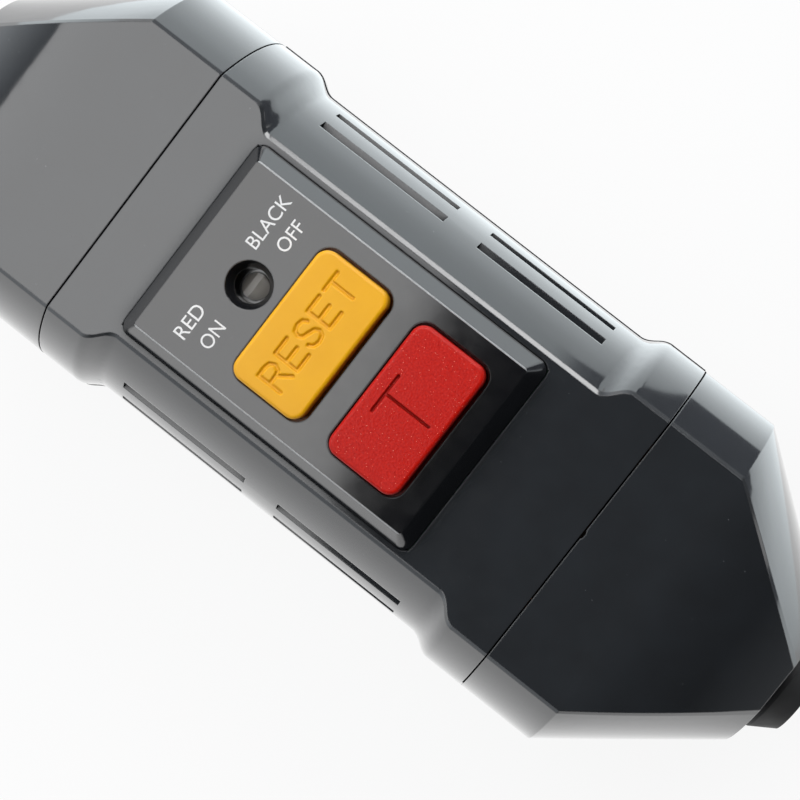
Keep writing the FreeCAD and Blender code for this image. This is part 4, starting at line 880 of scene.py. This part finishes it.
def under_loops(x, rim, counts, stem_bottom):
    """Loops from a cap's side over its lip, up into its hollow and down its stem."""
    cap = (CAP_WIDTH, CAP_LENGTH)
    lip = (CAP_WIDTH + 2 * LIP_REACH, CAP_LENGTH + 2 * LIP_REACH)
    hollow = (CAP_WIDTH - 2 * BUTTON_SKIN, CAP_LENGTH - 2 * BUTTON_SKIN)
    ceiling = BUTTON_TOP - BUTTON_SKIN
    around = (
        (cap, BUTTON_CORNER, LIP_TOP), (lip, BUTTON_CORNER, LIP_TOP), (lip, BUTTON_CORNER, LIP_BOTTOM),
        (hollow, BUTTON_CORNER / 2, LIP_BOTTOM), (hollow, BUTTON_CORNER / 2, ceiling))
    stem = (
        (STEM_RADIUS, ceiling), (STEM_RADIUS, stem_bottom + STEM_CHAMFER),
        (STEM_RADIUS - STEM_CHAMFER, stem_bottom))
    loops = [rounded_loop((x, 0), size, corner, level, counts) for size, corner, level in around]
    return loops + [round_loop((x, 0), radius, level, rim) for radius, level in stem]


def button(name, x, stem_bottom, word, cut, slot, node):
    """Cap with a soft edge and engraved letters, a lip under the panel, a hollow and a stem."""
    counts = cap_counts()
    rim = rounded_loop((x, 0), (CAP_WIDTH, CAP_LENGTH), BUTTON_CORNER, 0.0, counts)
    loops = cap_loops(x, rim, word_strokes(*word), cut) + under_loops(x, rim, counts, stem_bottom)
    points, faces = loft(loops, close_last=True)
    piece(name, points, faces, slot, node, [node])


def make_buttons():
    button("reset_button_cap", RESET_X, RESET_LOW.z, RESET_WORD, RESET_GROOVE, "yellow_plastic",
           "reset_button")
    button("test_button_cap", TEST_X, TEST_LOW.z, TEST_WORD, TEST_GROOVE, "red_plastic", "test_button")


# Wound return springs, each built to fill its CAD node's box

def coil_loops(low, high, turns):
    """Loops round the wire of a spring that fills a box, with its end turns closer together."""
    axis = Vector(((low.x + high.x) / 2, (low.y + high.y) / 2, 0))
    radius = (high.x - low.x) / 2 - WIRE / 2
    rise = high.z - low.z - WIRE
    round_wire = [math.tau * point / WIRE_POINTS for point in range(WIRE_POINTS)]
    steps = turns * TURN_POINTS
    loops = []
    for step in range(steps + 1):
        part = step / steps
        closer = END_CLOSING * math.sin(math.tau * part) / math.tau
        level = low.z + WIRE / 2 + rise * (part - closer)
        turn = math.tau * turns * part
        out = Vector((math.cos(turn), math.sin(turn), 0))
        centre = axis + out * radius + UP * level
        loops.append([
            centre + (out * math.cos(angle) + UP * math.sin(angle)) * WIRE / 2 for angle in round_wire])
    return loops


def spring(node, turns):
    low, high = node_box(node)
    points, faces = loft(coil_loops(low, high, turns), close_first=True, close_last=True)
    coil = piece(node + "_coil", points, faces, "steel", None, [node], SPRING_SHARP)
    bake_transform(coil)


def make_springs():
    spring("reset_spring", 5)
    spring("test_spring", 5)
    spring("carrier_spring", 8)


# Printed legends on the panel: the word, the X of its letters' feet, and the Y of its start and end

LEGENDS = (
    ("BLACK", -19.95, 4.4, 12.75), ("OFF", -16.3, 6.5, 11.1),
    ("RED", -20.3, -11.7, -6.55), ("ON", -16.6, -10.7, -6.7))
PRINT_HEIGHT = 2.05
INK = 0.02


def word_mesh(word):
    """The mesh of a word in Blender's own font, one unit high with its ink's thickness."""
    curve = bpy.data.curves.new("print_" + word.lower(), "FONT")
    curve.body = word
    curve.extrude = INK / 2
    curve.size = 1.0
    flat = bpy.data.objects.new("print_" + word.lower(), curve)
    bpy.context.scene.collection.objects.link(flat)
    bpy.context.view_layer.update()
    ready = flat.evaluated_get(bpy.context.evaluated_depsgraph_get())
    mesh = bpy.data.meshes.new_from_object(ready)
    bpy.data.objects.remove(flat)
    return mesh


def make_legends():
    """White printed words that read along +Y on the panel's top."""
    for word, foot_x, start_y, end_y in LEGENDS:
        mesh = word_mesh(word)
        across = [corner.co.x for corner in mesh.vertices]
        upward = [corner.co.y for corner in mesh.vertices]
        wide = (end_y - start_y) / (max(across) - min(across))
        high = PRINT_HEIGHT / (max(upward) - min(upward))
        for corner in mesh.vertices:
            along = (corner.co.x - min(across)) * wide + start_y
            above = (corner.co.y - min(upward)) * high
            level = PANEL_TOP + corner.co.z
            corner.co = Vector((foot_x - above, along, level)) * MM
        mesh.materials.append(MATERIALS["white_print"])
        printed = bpy.data.objects.new("print_" + word.lower(), mesh)
        bpy.context.scene.collection.objects.link(printed)
        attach(printed, BODY)


bpy.context.scene.view_settings.view_transform = "Standard"
make_camera()
make_floor()
make_cards()
make_world()
make_lights()
MATERIALS = make_materials()
dress_cad_nodes()
make_buttons()
make_springs()
make_legends()
